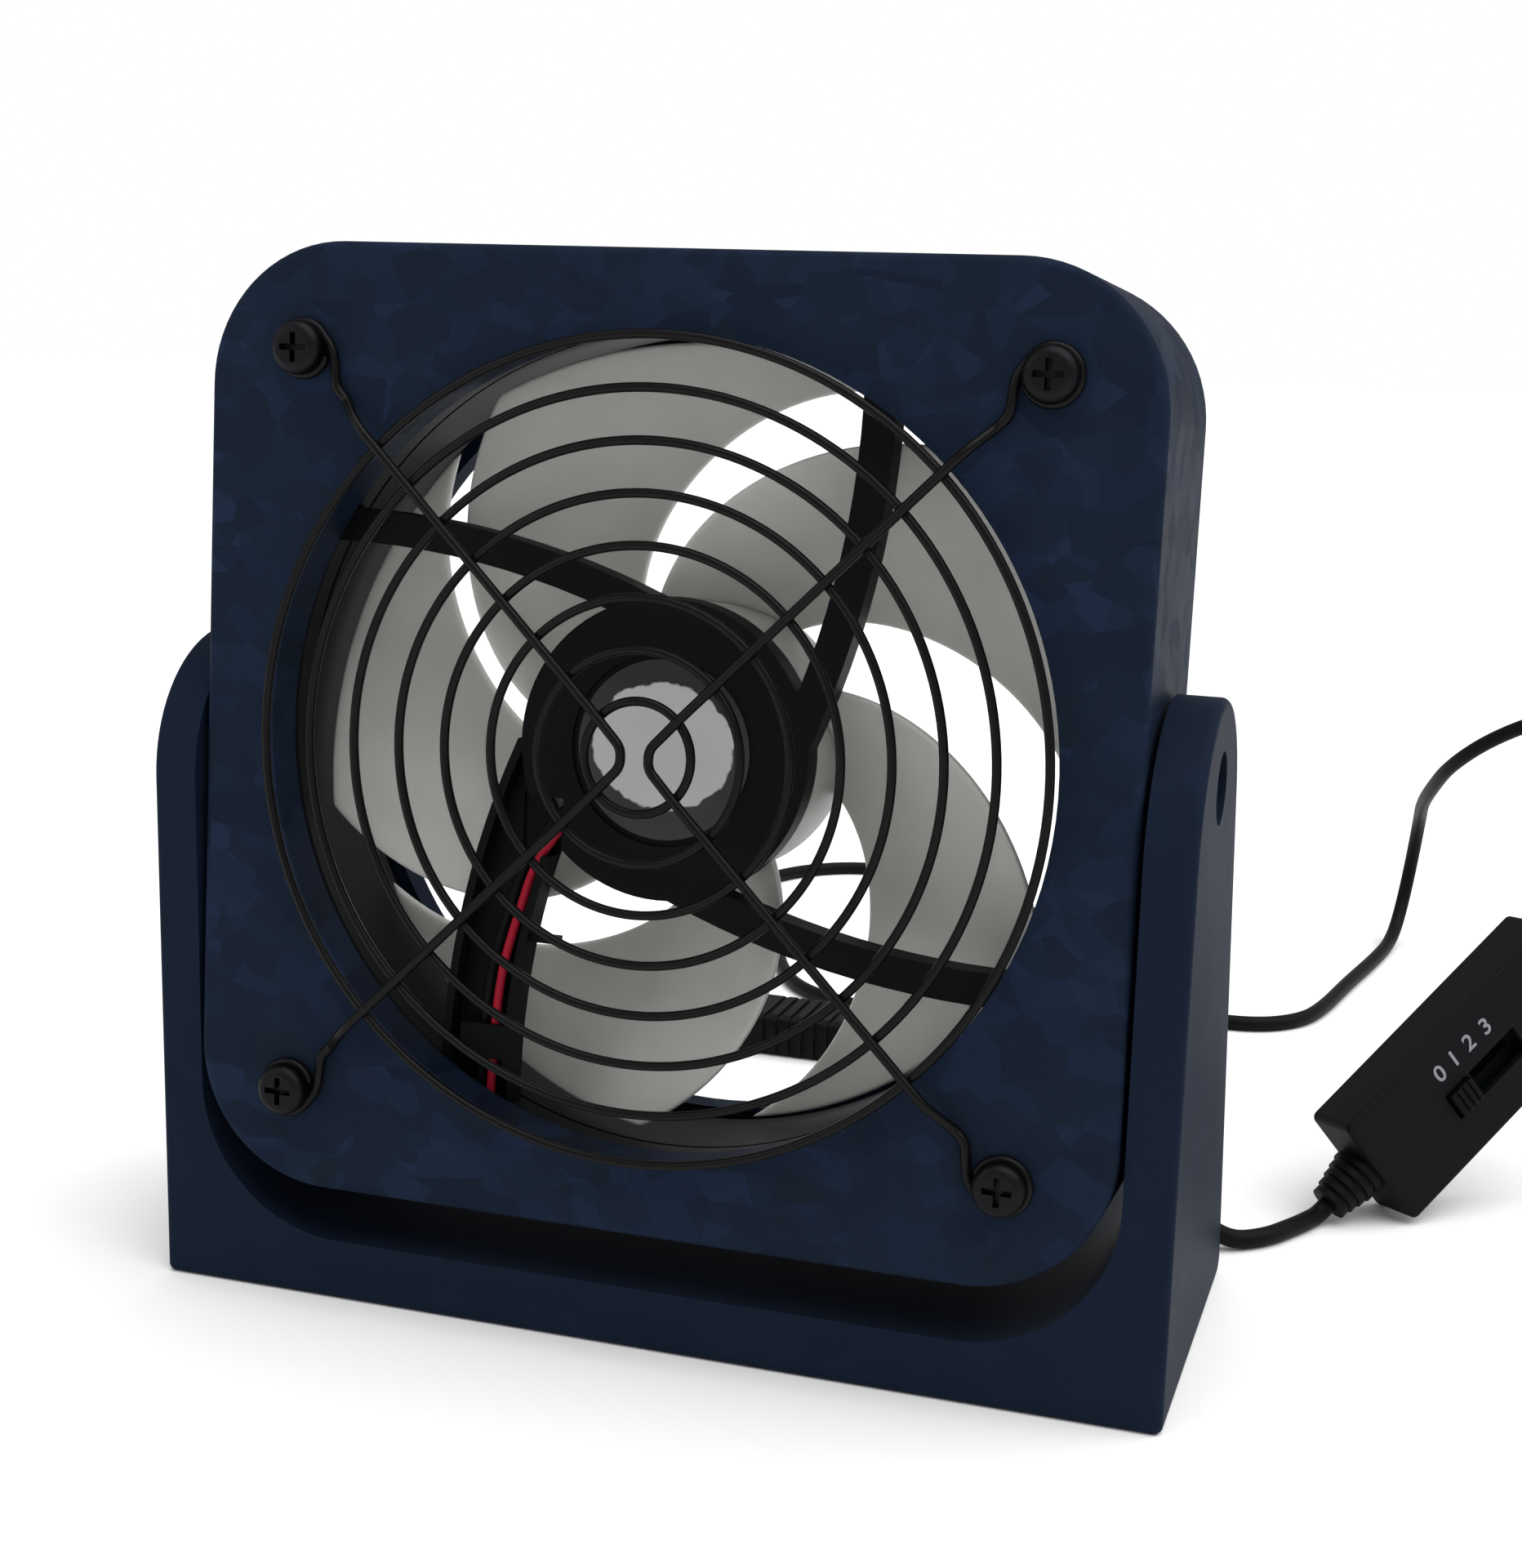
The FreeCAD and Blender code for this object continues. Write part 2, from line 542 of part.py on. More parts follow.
def make_core():
    shoe_inner = 13.2
    neck = box(-2.0, 2.0, CORE_FRONT, CORE_BACK, 6.5, shoe_inner + 0.4)
    shoe = tube(STATOR_R, shoe_inner, CORE_FRONT, CORE_BACK)
    shoe = shoe.common(box(-9, 9, CORE_FRONT, CORE_BACK, 6, 20))
    return fused([tube(7.2, BEARING_TUBE_R, CORE_FRONT, CORE_BACK)] + four_around(neck.fuse(shoe)))


def make_insulators():
    thickness = 0.8
    plates = []
    for y in (CORE_FRONT - thickness, CORE_BACK):
        hub = tube(7.4, BEARING_TUBE_R, y, y + thickness)
        plates.append(fused([hub] + four_around(box(-2.6, 2.6, y, y + thickness, 6.5, 12.4))))
    return plates


def make_coils():
    y0, y1 = CORE_FRONT - 2.1, CORE_BACK + 2.1
    window = box(-2.7, 2.7, CORE_FRONT - 0.9, CORE_BACK + 0.9, 8, 13)
    return four_around(box(-4.3, 4.3, y0, y1, 8.4, 12.0).cut(window))


def make_motor_board():
    board = tube(15.5, BEARING_TUBE_R, BOARD_FRONT, BOARD_FRONT + 1.0)
    chips = [box(3.0, 7.0, BOARD_FRONT - 1.2, BOARD_FRONT, 7.5, 10.5),
             box(5.0, 7.0, BOARD_FRONT - 0.9, BOARD_FRONT, -9.0, -7.8),
             box(8.0, 10.0, BOARD_FRONT - 0.9, BOARD_FRONT, 3.0, 4.2)]
    return fused([board] + chips)


# ---------------------------------------------------------------- leads in the head
def lead_route(row):
    """Motor board, cable strut, frame's notches, then round the fan's back to the gland."""
    side = row * LEAD_PITCH
    board_y = BOARD_FRONT - LEAD_R - 0.1
    back_y = FAN_REAR + LEAD_R + 0.15
    low = -HALF_POCKET + LEAD_R + 0.2 + side
    wall = HALF_POCKET - LEAD_R - 0.2 - side
    slot_y, slot_z = HALF_DEPTH - 2.5, -LEAD_PITCH / 2 + side
    return [V(-9.6 - 0.5 * side, board_y, -8.2 + 0.85 * side),
            V(-15.0 - 0.6 * side, board_y, -11.6 + 0.8 * side), V(-19.0 - side, CHANNEL_Y, -17.8),
            V(-21.6 - side, CHANNEL_Y, -26.5), V(-23.3 - side, CHANNEL_Y, -32.6),
            V(-24.2 - side, CHANNEL_Y, -39.5), V(-24.6 - side, CHANNEL_Y, -48.5),
            V(-25.0 - side, CHANNEL_Y + 0.3, -55.6 + side), V(-27.6 - side, -6.0, low + 0.9),
            V(-33.0 - side, 0.0, low + 0.5), V(-39.5, 6.0, low + 0.4), V(-43.0, 10.5, low + 0.3),
            V(-43.2, back_y + 0.3, low), V(-34.0, back_y, low), V(-6.0, back_y, low + 0.5),
            V(24.0, back_y, low), V(wall, back_y, low), V(wall + 0.1, back_y, -46.4), V(wall, back_y, -31.0),
            V(wall - 0.05, back_y, -17.0), V(wall, slot_y - 0.5, -6.0 + side), V(wall + 0.05, slot_y, slot_z),
            V(GLAND_X - GLAND_SHAFT_R, slot_y, slot_z)]


# ---------------------------------------------------------------- ribbed reliefs, along +X
def ribbed_tail(length, base_r, tip_r, ribs):
    """Tapered tail along +X from its base at x = 0, with raised ribs."""
    tail = Part.makeCone(base_r - 0.5, tip_r - 0.35, length, V(0, 0, 0), X_AXIS)
    pitch = length / ribs
    rings = []
    for i in range(ribs):
        start = (i + 0.35) * pitch
        radius = base_r + (tip_r - base_r) * start / length
        rings.append(along_x(radius, start, start + 0.62 * pitch))
    return fused([tail] + rings)


def make_gland():
    tail = ribbed_tail(GLAND_LENGTH, GLAND_BASE_R, 2.4, 5)
    tail.Placement = FreeCAD.Placement(V(GLAND_X, HALF_DEPTH, 0), FreeCAD.Rotation(X_AXIS, Y_AXIS))
    return tail.fuse(disc(GLAND_SHAFT_R, HALF_DEPTH - GLAND_DEPTH, HALF_DEPTH + 0.5, GLAND_X, 0))


# ---------------------------------------------------------------- controller, own frame
def controller_case():
    half_width = CONTROLLER_WIDTH / 2
    case = box(-HALF_LENGTH, HALF_LENGTH, -half_width, half_width, -HALF_THICK, HALF_THICK)
    case = case.makeFillet(CONTROLLER_CORNER_R, edges_along(case, Z_AXIS))
    rims = [e for e in case.Edges if abs(abs(e.CenterOfMass.z) - HALF_THICK) < 0.01]
    return case.makeFillet(CONTROLLER_EDGE_R, rims)


def make_controller_shells():
    wall = CONTROLLER_WALL
    half_width = CONTROLLER_WIDTH / 2 - wall
    room = box(-HALF_LENGTH + wall, HALF_LENGTH - wall, -half_width, half_width,
               -HALF_THICK + wall, HALF_THICK - wall)
    shell = controller_case().cut(room)
    shell = shell.cut(along_x(RELIEF_NECK_R, -HALF_LENGTH - 1, -HALF_LENGTH + wall + 1))
    shell = shell.cut(along_x(RELIEF_NECK_R, HALF_LENGTH - wall - 1, HALF_LENGTH + 1))
    slot_start = SLIDER_START - KNOB_LENGTH / 2 - 0.4
    slot_end = SLIDER_START + SLIDER_TRAVEL + KNOB_LENGTH / 2 + 0.4
    slot_half = KNOB_WIDTH / 2 + 0.35
    shell = shell.cut(box(slot_start, slot_end, SLIDER_Y - slot_half, SLIDER_Y + slot_half, 0, HALF_THICK + 1))
    reach = CONTROLLER_LENGTH
    lower = shell.common(box(-reach, reach, -reach, reach, -reach, 0))
    upper = shell.common(box(-reach, reach, -reach, reach, 0, reach))
    return lower, upper


def make_controller_board():
    return box(-19, 17, -7.6, 7.6, BOARD_Z, BOARD_Z + BOARD_THICKNESS)


def aside(shape):
    """Moves a piece of the switch from the controller's middle line to its slot."""
    shape.translate(V(0, SLIDER_Y, 0))
    return shape


def make_slide_switch():
    """Switch body on the board, with a groove for the slider's stem."""
    middle = SLIDER_START + SLIDER_TRAVEL / 2
    body = box(middle - 9.6, middle + 9.6, -3.6, 3.6, BOARD_Z + BOARD_THICKNESS, SWITCH_TOP)
    groove = box(middle - 7.6, middle + 7.6, -1.4, 1.4, SWITCH_TOP - 2.4, SWITCH_TOP + 1)
    return aside(body.cut(groove))


def make_slider():
    """Knob through the slot, a plate under the case's wall and a stem in the switch."""
    half = KNOB_LENGTH / 2
    knob = box(SLIDER_START - half, SLIDER_START + half, -KNOB_WIDTH / 2, KNOB_WIDTH / 2,
               SWITCH_TOP + 1.0, HALF_THICK + KNOB_PROUD)
    top_edges = [e for e in knob.Edges if e.BoundBox.ZMin > HALF_THICK + KNOB_PROUD - 0.1]
    knob = knob.makeFillet(0.5, top_edges)
    plate = box(SLIDER_START - half - 1.2, SLIDER_START + half + 1.2, -3.4, 3.4,
                SWITCH_TOP + 0.4, SWITCH_TOP + 1.9)
    stem = box(SLIDER_START - 1.2, SLIDER_START + 1.2, -1.05, 1.05, SWITCH_TOP - 1.9, SWITCH_TOP + 1.0)
    slider = fused([knob, plate, stem])
    for i in range(3):
        x = SLIDER_START + (i - 1) * 1.3
        slider = slider.cut(box(x - 0.25, x + 0.25, -KNOB_WIDTH, KNOB_WIDTH,
                                HALF_THICK + KNOB_PROUD - 0.4, HALF_THICK + 3))
    return aside(slider)


def make_relief(direction):
    """Strain relief at one end of the controller: flange inside, ribbed tail outside."""
    tail = ribbed_tail(RELIEF_LENGTH, RELIEF_BASE_R, RELIEF_TIP_R, 5)
    tail.translate(V(HALF_LENGTH, 0, 0))
    neck = along_x(RELIEF_NECK_R, HALF_LENGTH - CONTROLLER_WALL - 0.5, HALF_LENGTH + 0.5)
    flange = along_x(RELIEF_FLANGE_R, HALF_LENGTH - CONTROLLER_WALL - 1.4, HALF_LENGTH - CONTROLLER_WALL)
    relief = fused([tail, neck, flange])
    return relief if direction > 0 else relief.mirror(V(0, 0, 0), X_AXIS)


def make_controller_wires():
    """Cores soldered from the reliefs to the board's two ends."""
    z = BOARD_Z + BOARD_THICKNESS + LEAD_R
    inner = HALF_LENGTH - CONTROLLER_WALL - 1.4
    wires = []
    for y in (-1.5, 1.5):
        wires.append(Part.makeCylinder(LEAD_R, inner - 15.5, V(-inner, y, z), X_AXIS))
        wires.append(Part.makeCylinder(LEAD_R, inner - 13.5, V(13.5, y, z), X_AXIS))
    return wires


def controller_placement():
    """Stands the controller on its lowest corner, just clear of the table."""
    turn = FreeCAD.Rotation(CONTROLLER_YAW, -CONTROLLER_RISE, CONTROLLER_ROLL)
    case = controller_case()
    case.Placement = FreeCAD.Placement(V(CONTROLLER_X, CONTROLLER_Y, 0), turn)
    lift = 0.05 - case.BoundBox.ZMin
    return FreeCAD.Placement(V(CONTROLLER_X, CONTROLLER_Y, lift), turn)


# ---------------------------------------------------------------- plug, along +X
def make_plug_grip():
    """Overmoulded grip with grooved sides and a ribbed tail behind it."""
    width, height, length = PLUG_GRIP_WIDTH, PLUG_GRIP_HEIGHT, PLUG_GRIP_LENGTH
    grip = box(0, length, -width / 2, width / 2, -height / 2, height / 2)
    grip = grip.makeFillet(2.0, edges_along(grip, X_AXIS))
    ends = [e for e in grip.Edges if e.BoundBox.XLength < 0.01]
    grip = grip.makeFillet(1.0, ends)
    for i in range(7):
        x = 5.0 + 2.6 * i
        band = box(x, x + 1.1, -width, width, -height, height)
        band = band.cut(box(x - 1, x + 3, -width / 2 + 0.5, width / 2 - 0.5, -height / 2 + 0.5, height / 2 - 0.5))
        grip = grip.cut(band)
    tail = ribbed_tail(PLUG_TAIL_LENGTH, 3.6, 2.3, 5)
    tail.Placement = FreeCAD.Placement(V(0.5, 0, 0), FreeCAD.Rotation(X_AXIS, V(-1, 0, 0)))
    return fused([grip, tail])


def make_plug_shell():
    """Folded metal shell with two square holes in its upper and lower faces."""
    start = PLUG_GRIP_LENGTH
    end = start + PLUG_SHELL_LENGTH
    half_w, half_h, wall = PLUG_SHELL_WIDTH / 2, PLUG_SHELL_HEIGHT / 2, PLUG_SHELL_WALL
    shell = box(start, end, -half_w, half_w, -half_h, half_h)
    shell = shell.makeFillet(0.6, edges_along(shell, X_AXIS))
    shell = shell.cut(box(start - 1, end + 1, -half_w + wall, half_w - wall, -half_h + wall, half_h - wall))
    for y in (-2.9, 2.9):
        shell = shell.cut(box(start + 5.0, start + 7.4, y - 1.1, y + 1.1, -half_h - 1, half_h + 1))
    return shell


def make_plug_tongue():
    half_w, half_h, wall = PLUG_SHELL_WIDTH / 2, PLUG_SHELL_HEIGHT / 2, PLUG_SHELL_WALL
    return box(PLUG_GRIP_LENGTH, PLUG_GRIP_LENGTH + PLUG_SHELL_LENGTH - 0.6, -half_w + wall, half_w - wall,
               -half_h + wall, -half_h + wall + 1.8)


def make_plug_contacts():
    top = -PLUG_SHELL_HEIGHT / 2 + PLUG_SHELL_WALL + 1.8
    start = PLUG_GRIP_LENGTH + 1.5
    return [box(start, start + 7.8, y - 0.5, y + 0.5, top, top + 0.25) for y in (-3.5, -1.0, 1.0, 3.5)]


def plug_placement():
    """Lays the plug on the table, its tail's tip at the end of the supply cord."""
    heading = math.radians(PLUG_HEADING_DEG)
    reach = PLUG_TAIL_LENGTH - 0.5
    height = PLUG_GRIP_HEIGHT / 2 + 0.05
    base = V(PLUG_X + reach * math.cos(heading), PLUG_Y + reach * math.sin(heading), height)
    return FreeCAD.Placement(base, FreeCAD.Rotation(PLUG_HEADING_DEG, 0, 0))


def placed(shape, placement):
    copy = shape.copy()
    copy.Placement = placement.multiply(copy.Placement)
    return copy


# ---------------------------------------------------------------- cord routes
def fan_lead_route(controller):
    start = FreeCAD.Rotation(X_AXIS, -REST_TILT_DEG).multVec(V(GLAND_X, CORD_EXIT_Y, 0)) + PIVOT
    tail_tip = -HALF_LENGTH - RELIEF_LENGTH
    before_end, end = [controller.multVec(V(tail_tip - run, 0, 0)) for run in (2.6, 0)]
    return [start, V(63.8, 27.2, 81.0), V(63.7, 35.2, 76.0), V(63.5, 40.0, 66.5), V(63.2, 41.5, 53.0),
            V(62.8, 40.3, 39.0), V(62.4, 37.8, 25.5), V(62.8, 36.2, 15.0), V(67.3, 35.8, 6.6),
            V(75.6, 37.3, 1.6), V(80.9, 41.4, LOW), V(85.4, 48.9, LOW), before_end, end]


def supply_lead_route(controller, plug):
    start, after_start = [controller.multVec(V(HALF_LENGTH + RELIEF_LENGTH + run, 0, 0)) for run in (0, 13)]
    end = plug.multVec(V(0.5 - PLUG_TAIL_LENGTH, 0, 0))
    return [start, after_start, V(140.2, 111.0, 58.8), V(143.0, 125.5, 63.5), V(143.4, 140.5, 68.5),
            V(140.2, 154.5, 71.0),
            V(131.5, 170.0, 70.2), V(119.5, 180.5, 66.3), V(107.8, 185.0, 60.0), V(99.2, 191.5, 52.0),
            V(95.4, 205.5, 43.8), V(93.3, 221.5, 37.2), V(92.5, 238.5, 30.6), V(91.4, 245.6, 20.2),
            V(90.0, 243.4, 8.6), V(88.6, 234.6, LOW), V(86.3, 217.0, LOW), V(81.6, 193.0, LOW),
            V(78.4, 173.0, LOW), V(74.8, 161.5, LOW), V(66.5, 154.6, LOW), V(54.5, 154.4, LOW),
            V(42.0, 163.0, LOW), V(31.0, 183.0, LOW), V(18.0, 207.5, LOW), V(0.5, 231.0, LOW),
            V(-20.5, 249.0, LOW), V(-45.0, 254.0, LOW), V(-62.0, 239.5, LOW), V(-66.5, 216.5, LOW),
            V(-61.0, 197.5, LOW), V(-51.5, 186.0, LOW), V(-43.0, 173.5, LOW), V(-37.0, 157.0, LOW),
            V(-28.5, 142.5, LOW), V(-14.5, 135.0, LOW), V(3.0, 133.6, LOW), V(20.0, 133.3, LOW),
            V(27.0, 126.3, 1.9), V(27.0, 116.3, 3.0), V(20.0, 109.3, 4.15), end]


# ---------------------------------------------------------------- build
save("stand_bracket", make_stand())
save("pivot_washers", [to_head(s) for s in both_sides(make_pivot_washer())])

save_in_head("head_housing", make_housing())
save_in_head("rear_plate", make_rear_plate())
save_in_head("pivot_inserts", both_sides(make_pivot_insert()))
save_in_head("pivot_screws", both_sides(make_pivot_screw()))
save_in_head("finger_guard", make_guard())
save_in_head("guard_screws", [make_guard_screw(x, z) for x, z in CORNERS])
save_in_head("guard_nuts", [make_guard_nut(x, z) for x, z in CORNERS])
save_in_head("fan_frame", make_fan_frame())
save_in_head("motor_label", make_label())
save_in_head("bearing_sleeve", make_bearing())
save_in_head("stator_core", make_core())
save_in_head("stator_insulators", make_insulators())
save_in_head("coil_windings", make_coils())
save_in_head("motor_board", make_motor_board())
save_in_head("red_lead", route_tube("red_lead", lead_route(0), LEAD_R))
save_in_head("black_lead", route_tube("black_lead", lead_route(1), LEAD_R))
save_in_head("cord_gland", make_gland())

save_in_head("impeller", make_impeller())
save_in_head("rotor_yoke", make_yoke())
save_in_head("magnet_ring", make_magnet())
save_in_head("motor_shaft", make_shaft())
save_in_head("shaft_clip", make_clip())

controller = controller_placement()
print("controller at", controller.Base)
lower_shell, upper_shell = make_controller_shells()
save("controller_lower_shell", placed(lower_shell, controller))
save("controller_upper_shell", placed(upper_shell, controller))
save("controller_board", placed(make_controller_board(), controller))
save("slide_switch", placed(make_slide_switch(), controller))
save("speed_slider", placed(make_slider(), controller))
save("relief_near", placed(make_relief(-1), controller))
save("relief_far", placed(make_relief(1), controller))
save("controller_wires", [placed(w, controller) for w in make_controller_wires()])

plug = plug_placement()
save("plug_grip", placed(make_plug_grip(), plug))
save("plug_shell", placed(make_plug_shell(), plug))
save("plug_tongue", placed(make_plug_tongue(), plug))
save("plug_contacts", [placed(c, plug) for c in make_plug_contacts()])

save("fan_lead", route_tube("fan_lead", fan_lead_route(controller), CORD_R))
save("supply_lead", route_tube("supply_lead", supply_lead_route(controller, plug), CORD_R))
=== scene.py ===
"""Small tilting desk fan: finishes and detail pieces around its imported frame.

Metres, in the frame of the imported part: X right, Y away from the viewer, Z up, with the
origin in the middle of the stand's underside. Sizes written in millimetres are multiplied
by MM. "Head frame" means x right, y back and z up from the tilt pivot.
"""

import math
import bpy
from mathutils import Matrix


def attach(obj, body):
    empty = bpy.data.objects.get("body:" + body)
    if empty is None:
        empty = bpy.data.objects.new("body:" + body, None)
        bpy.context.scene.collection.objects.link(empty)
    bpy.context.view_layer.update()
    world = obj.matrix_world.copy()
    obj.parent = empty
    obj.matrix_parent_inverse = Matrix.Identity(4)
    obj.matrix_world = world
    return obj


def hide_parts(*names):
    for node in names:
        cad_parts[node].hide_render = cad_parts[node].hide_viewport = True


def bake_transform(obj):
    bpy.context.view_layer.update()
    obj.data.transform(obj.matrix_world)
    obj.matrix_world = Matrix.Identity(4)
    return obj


bl_info = {
    "name": "Desk Fan",
    "version": (1, 0, 0),
    "blender": (4, 5, 0),
    "location": "View3D > Sidebar > Desk Fan",
    "description": "Builds the finishes and detail pieces of a small tilting desk fan",
    "category": "Object",
}

import bmesh
import bpy
import numpy as np
from mathutils import Matrix, Vector

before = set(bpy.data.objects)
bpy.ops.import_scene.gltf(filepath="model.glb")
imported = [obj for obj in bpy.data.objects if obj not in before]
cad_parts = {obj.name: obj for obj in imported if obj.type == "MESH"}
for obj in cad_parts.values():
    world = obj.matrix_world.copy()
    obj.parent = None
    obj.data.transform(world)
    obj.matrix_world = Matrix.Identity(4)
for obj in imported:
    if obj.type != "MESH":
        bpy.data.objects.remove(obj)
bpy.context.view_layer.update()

MM = 0.001

# ---- where the head and the controller stand ----
PIVOT = np.array([0.0, -10.0, 84.0])
REST_TILT = math.radians(-4.23)
HEAD = Matrix.Translation(Vector(PIVOT)) @ Matrix.Rotation(REST_TILT, 4, "X")
CONTROLLER = (
    Matrix.Translation((108.0, 73.2, 23.866))
    @ Matrix.Rotation(math.radians(44.0), 4, "Z")
    @ Matrix.Rotation(math.radians(-38.2), 4, "Y")
    @ Matrix.Rotation(math.radians(80.5), 4, "X")
)
CONTROLLER_FACE = 5.3            # from the controller's middle

# ---- head, fan and guard, head frame ----
FACE_Y = -18.0
FAN_FRONT = -11.5
FAN_REAR = 13.5
MOTOR_FACE = FAN_FRONT + 0.2
HALF_HOLE = 52.5

# ---- cord routes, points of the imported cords' centre lines ----
FAN_LEAD = [
    (63.85, 18.22, 81.91), (63.8, 27.2, 81.0), (63.7, 35.2, 76.0), (63.5, 40.0, 66.5),
    (63.2, 41.5, 53.0), (62.8, 40.3, 39.0), (62.4, 37.8, 25.5), (62.8, 36.2, 15.0),
    (67.3, 35.8, 6.6), (75.6, 37.3, 1.6), (80.9, 41.4, 1.55), (85.4, 48.9, 1.55),
    (87.65, 53.55, 1.6), (89.12, 54.97, 3.21),
]
SUPPLY_LEAD = [
    (126.88, 91.43, 44.52), (134.23, 98.53, 52.56), (140.2, 111.0, 58.8), (143.0, 125.5, 63.5),
    (143.4, 140.5, 68.5), (140.2, 154.5, 71.0), (131.5, 170.0, 70.2), (119.5, 180.5, 66.3),
    (107.8, 185.0, 60.0), (99.2, 191.5, 52.0), (95.4, 205.5, 43.8), (93.3, 221.5, 37.2),
    (92.5, 238.5, 30.6), (91.4, 245.6, 20.2), (90.0, 243.4, 8.6), (88.6, 234.6, 1.55),
    (86.3, 217.0, 1.55), (81.6, 193.0, 1.55), (78.4, 173.0, 1.55), (74.8, 161.5, 1.55),
    (66.5, 154.6, 1.55), (54.5, 154.4, 1.55), (42.0, 163.0, 1.55), (31.0, 183.0, 1.55),
    (18.0, 207.5, 1.55), (0.5, 231.0, 1.55), (-20.5, 249.0, 1.55), (-45.0, 254.0, 1.55),
    (-62.0, 239.5, 1.55), (-66.5, 216.5, 1.55), (-61.0, 197.5, 1.55), (-51.5, 186.0, 1.55),
    (-43.0, 173.5, 1.55), (-37.0, 157.0, 1.55), (-28.5, 142.5, 1.55), (-14.5, 135.0, 1.55),
    (3.0, 133.6, 1.55), (20.0, 133.3, 1.55), (27.0, 126.3, 1.9), (27.0, 116.3, 3.0),
    (20.0, 109.3, 4.15), (8.0, 109.3, 4.15),
]


# ---------------------------------------------------------------- small helpers
def linear(hex_colour):
    """sRGB hex colour to linear red, green and blue."""
    srgb = np.array([int(hex_colour[i:i + 2], 16) for i in (1, 3, 5)]) / 255
    light = np.where(srgb <= 0.04045, srgb / 12.92, ((srgb + 0.055) / 1.055) ** 2.4)
    return tuple(float(c) for c in light)


def rgba(colour):
    """A colour with full alpha, as a colour socket takes it."""
    return (*tuple(colour)[:3], 1.0)


def moved(points, matrix):
    """Points of shape (..., 3) in millimetres through a 4 x 4 matrix."""
    m = np.array(matrix)
    return points @ m[:3, :3].T + m[:3, 3]


def per_mm(size):
    """Texture scale whose feature is about size millimetres on Object coordinates in metres."""
    return 1.0 / (size * MM)


def add(tree, kind, inputs=None, **settings):
    """Adds a node, sets its fields, and sets its inputs or links them where given a socket."""
    node = tree.nodes.new(kind)
    for field, value in settings.items():
        setattr(node, field, value)
    for name, value in (inputs or {}).items():
        if isinstance(value, bpy.types.NodeSocket):
            tree.links.new(value, node.inputs[name])
        else:
            node.inputs[name].default_value = value
    return node


def new_material(name, colour, roughness, metallic=0.0, ior=1.5, specular=0.5):
    """Material with one Principled shader, whose constants stand on the shader itself."""
    material = bpy.data.materials.new(name)
    material.use_nodes = True
    tree = material.node_tree
    shader = tree.nodes["Principled BSDF"]
    shader.inputs["Base Color"].default_value = rgba(colour)
    shader.inputs["Roughness"].default_value = roughness
    shader.inputs["Metallic"].default_value = metallic
    shader.inputs["IOR"].default_value = ior
    shader.inputs["Specular IOR Level"].default_value = specular
    return material, tree, shader


def noise_bump(tree, shader, where, size, height):
    """Fine relief: noise with features of size millimetres, height millimetres deep."""
    noise = add(tree, "ShaderNodeTexNoise",
                {"Vector": where, "Scale": per_mm(size), "Detail": 3.0})
    bump = add(tree, "ShaderNodeBump",
               {"Height": noise.outputs["Fac"], "Strength": 1.0, "Distance": height * MM})
    tree.links.new(bump.outputs["Normal"], shader.inputs["Normal"])


def object_place(tree):
    """Object coordinates, in metres."""
    return add(tree, "ShaderNodeTexCoord").outputs["Object"]


def dress(thing, material):
    """Gives a CAD node or a new piece its one material."""
    thing.data.materials.clear()
    thing.data.materials.append(material)


def dress_nodes(names, material):
    """Gives CAD nodes one material between them."""
    for name in names:
        dress(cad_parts[name], material)


# ---------------------------------------------------------------- surfaces
def grid_faces(rows, columns, wrap_rows=False, wrap_columns=False):
    """Quads between neighbours of a grid of rows x columns points, row after row."""
    i = np.arange(rows if wrap_rows else rows - 1)[:, None]
    j = np.arange(columns if wrap_columns else columns - 1)[None, :]
    i2, j2 = (i + 1) % rows, (j + 1) % columns
    quads = np.stack([i * columns + j, i * columns + j2, i2 * columns + j2, i2 * columns + j], axis=-1)
    return quads.reshape(-1, 4)


def new_piece(name, parts, material, matrix=None):
    """Smooth mesh object from (points, faces) parts in millimetres, at the origin, faces outward."""
    points, faces, start = [], [], 0
    for part_points, part_faces in parts:
        flat = np.asarray(part_points, float).reshape(-1, 3)
        points.append(flat)
        faces.extend((np.asarray(f) + start).tolist() for f in part_faces)
        start += len(flat)
    points = np.concatenate(points)
    if matrix is not None:
        points = moved(points, matrix)
    mesh = bpy.data.meshes.new(name)
    mesh.from_pydata((points * MM).tolist(), [], faces)
    work = bmesh.new()
    work.from_mesh(mesh)
    bmesh.ops.remove_doubles(work, verts=work.verts, dist=0.002 * MM)
    bmesh.ops.recalc_face_normals(work, faces=work.faces)
    work.to_mesh(mesh)
    work.free()
    mesh.polygons.foreach_set("use_smooth", np.full(len(mesh.polygons), True))
    mesh.update()
    piece = bpy.data.objects.new(name, mesh)
    bpy.context.scene.collection.objects.link(piece)
    mesh.materials.append(material)
    return piece


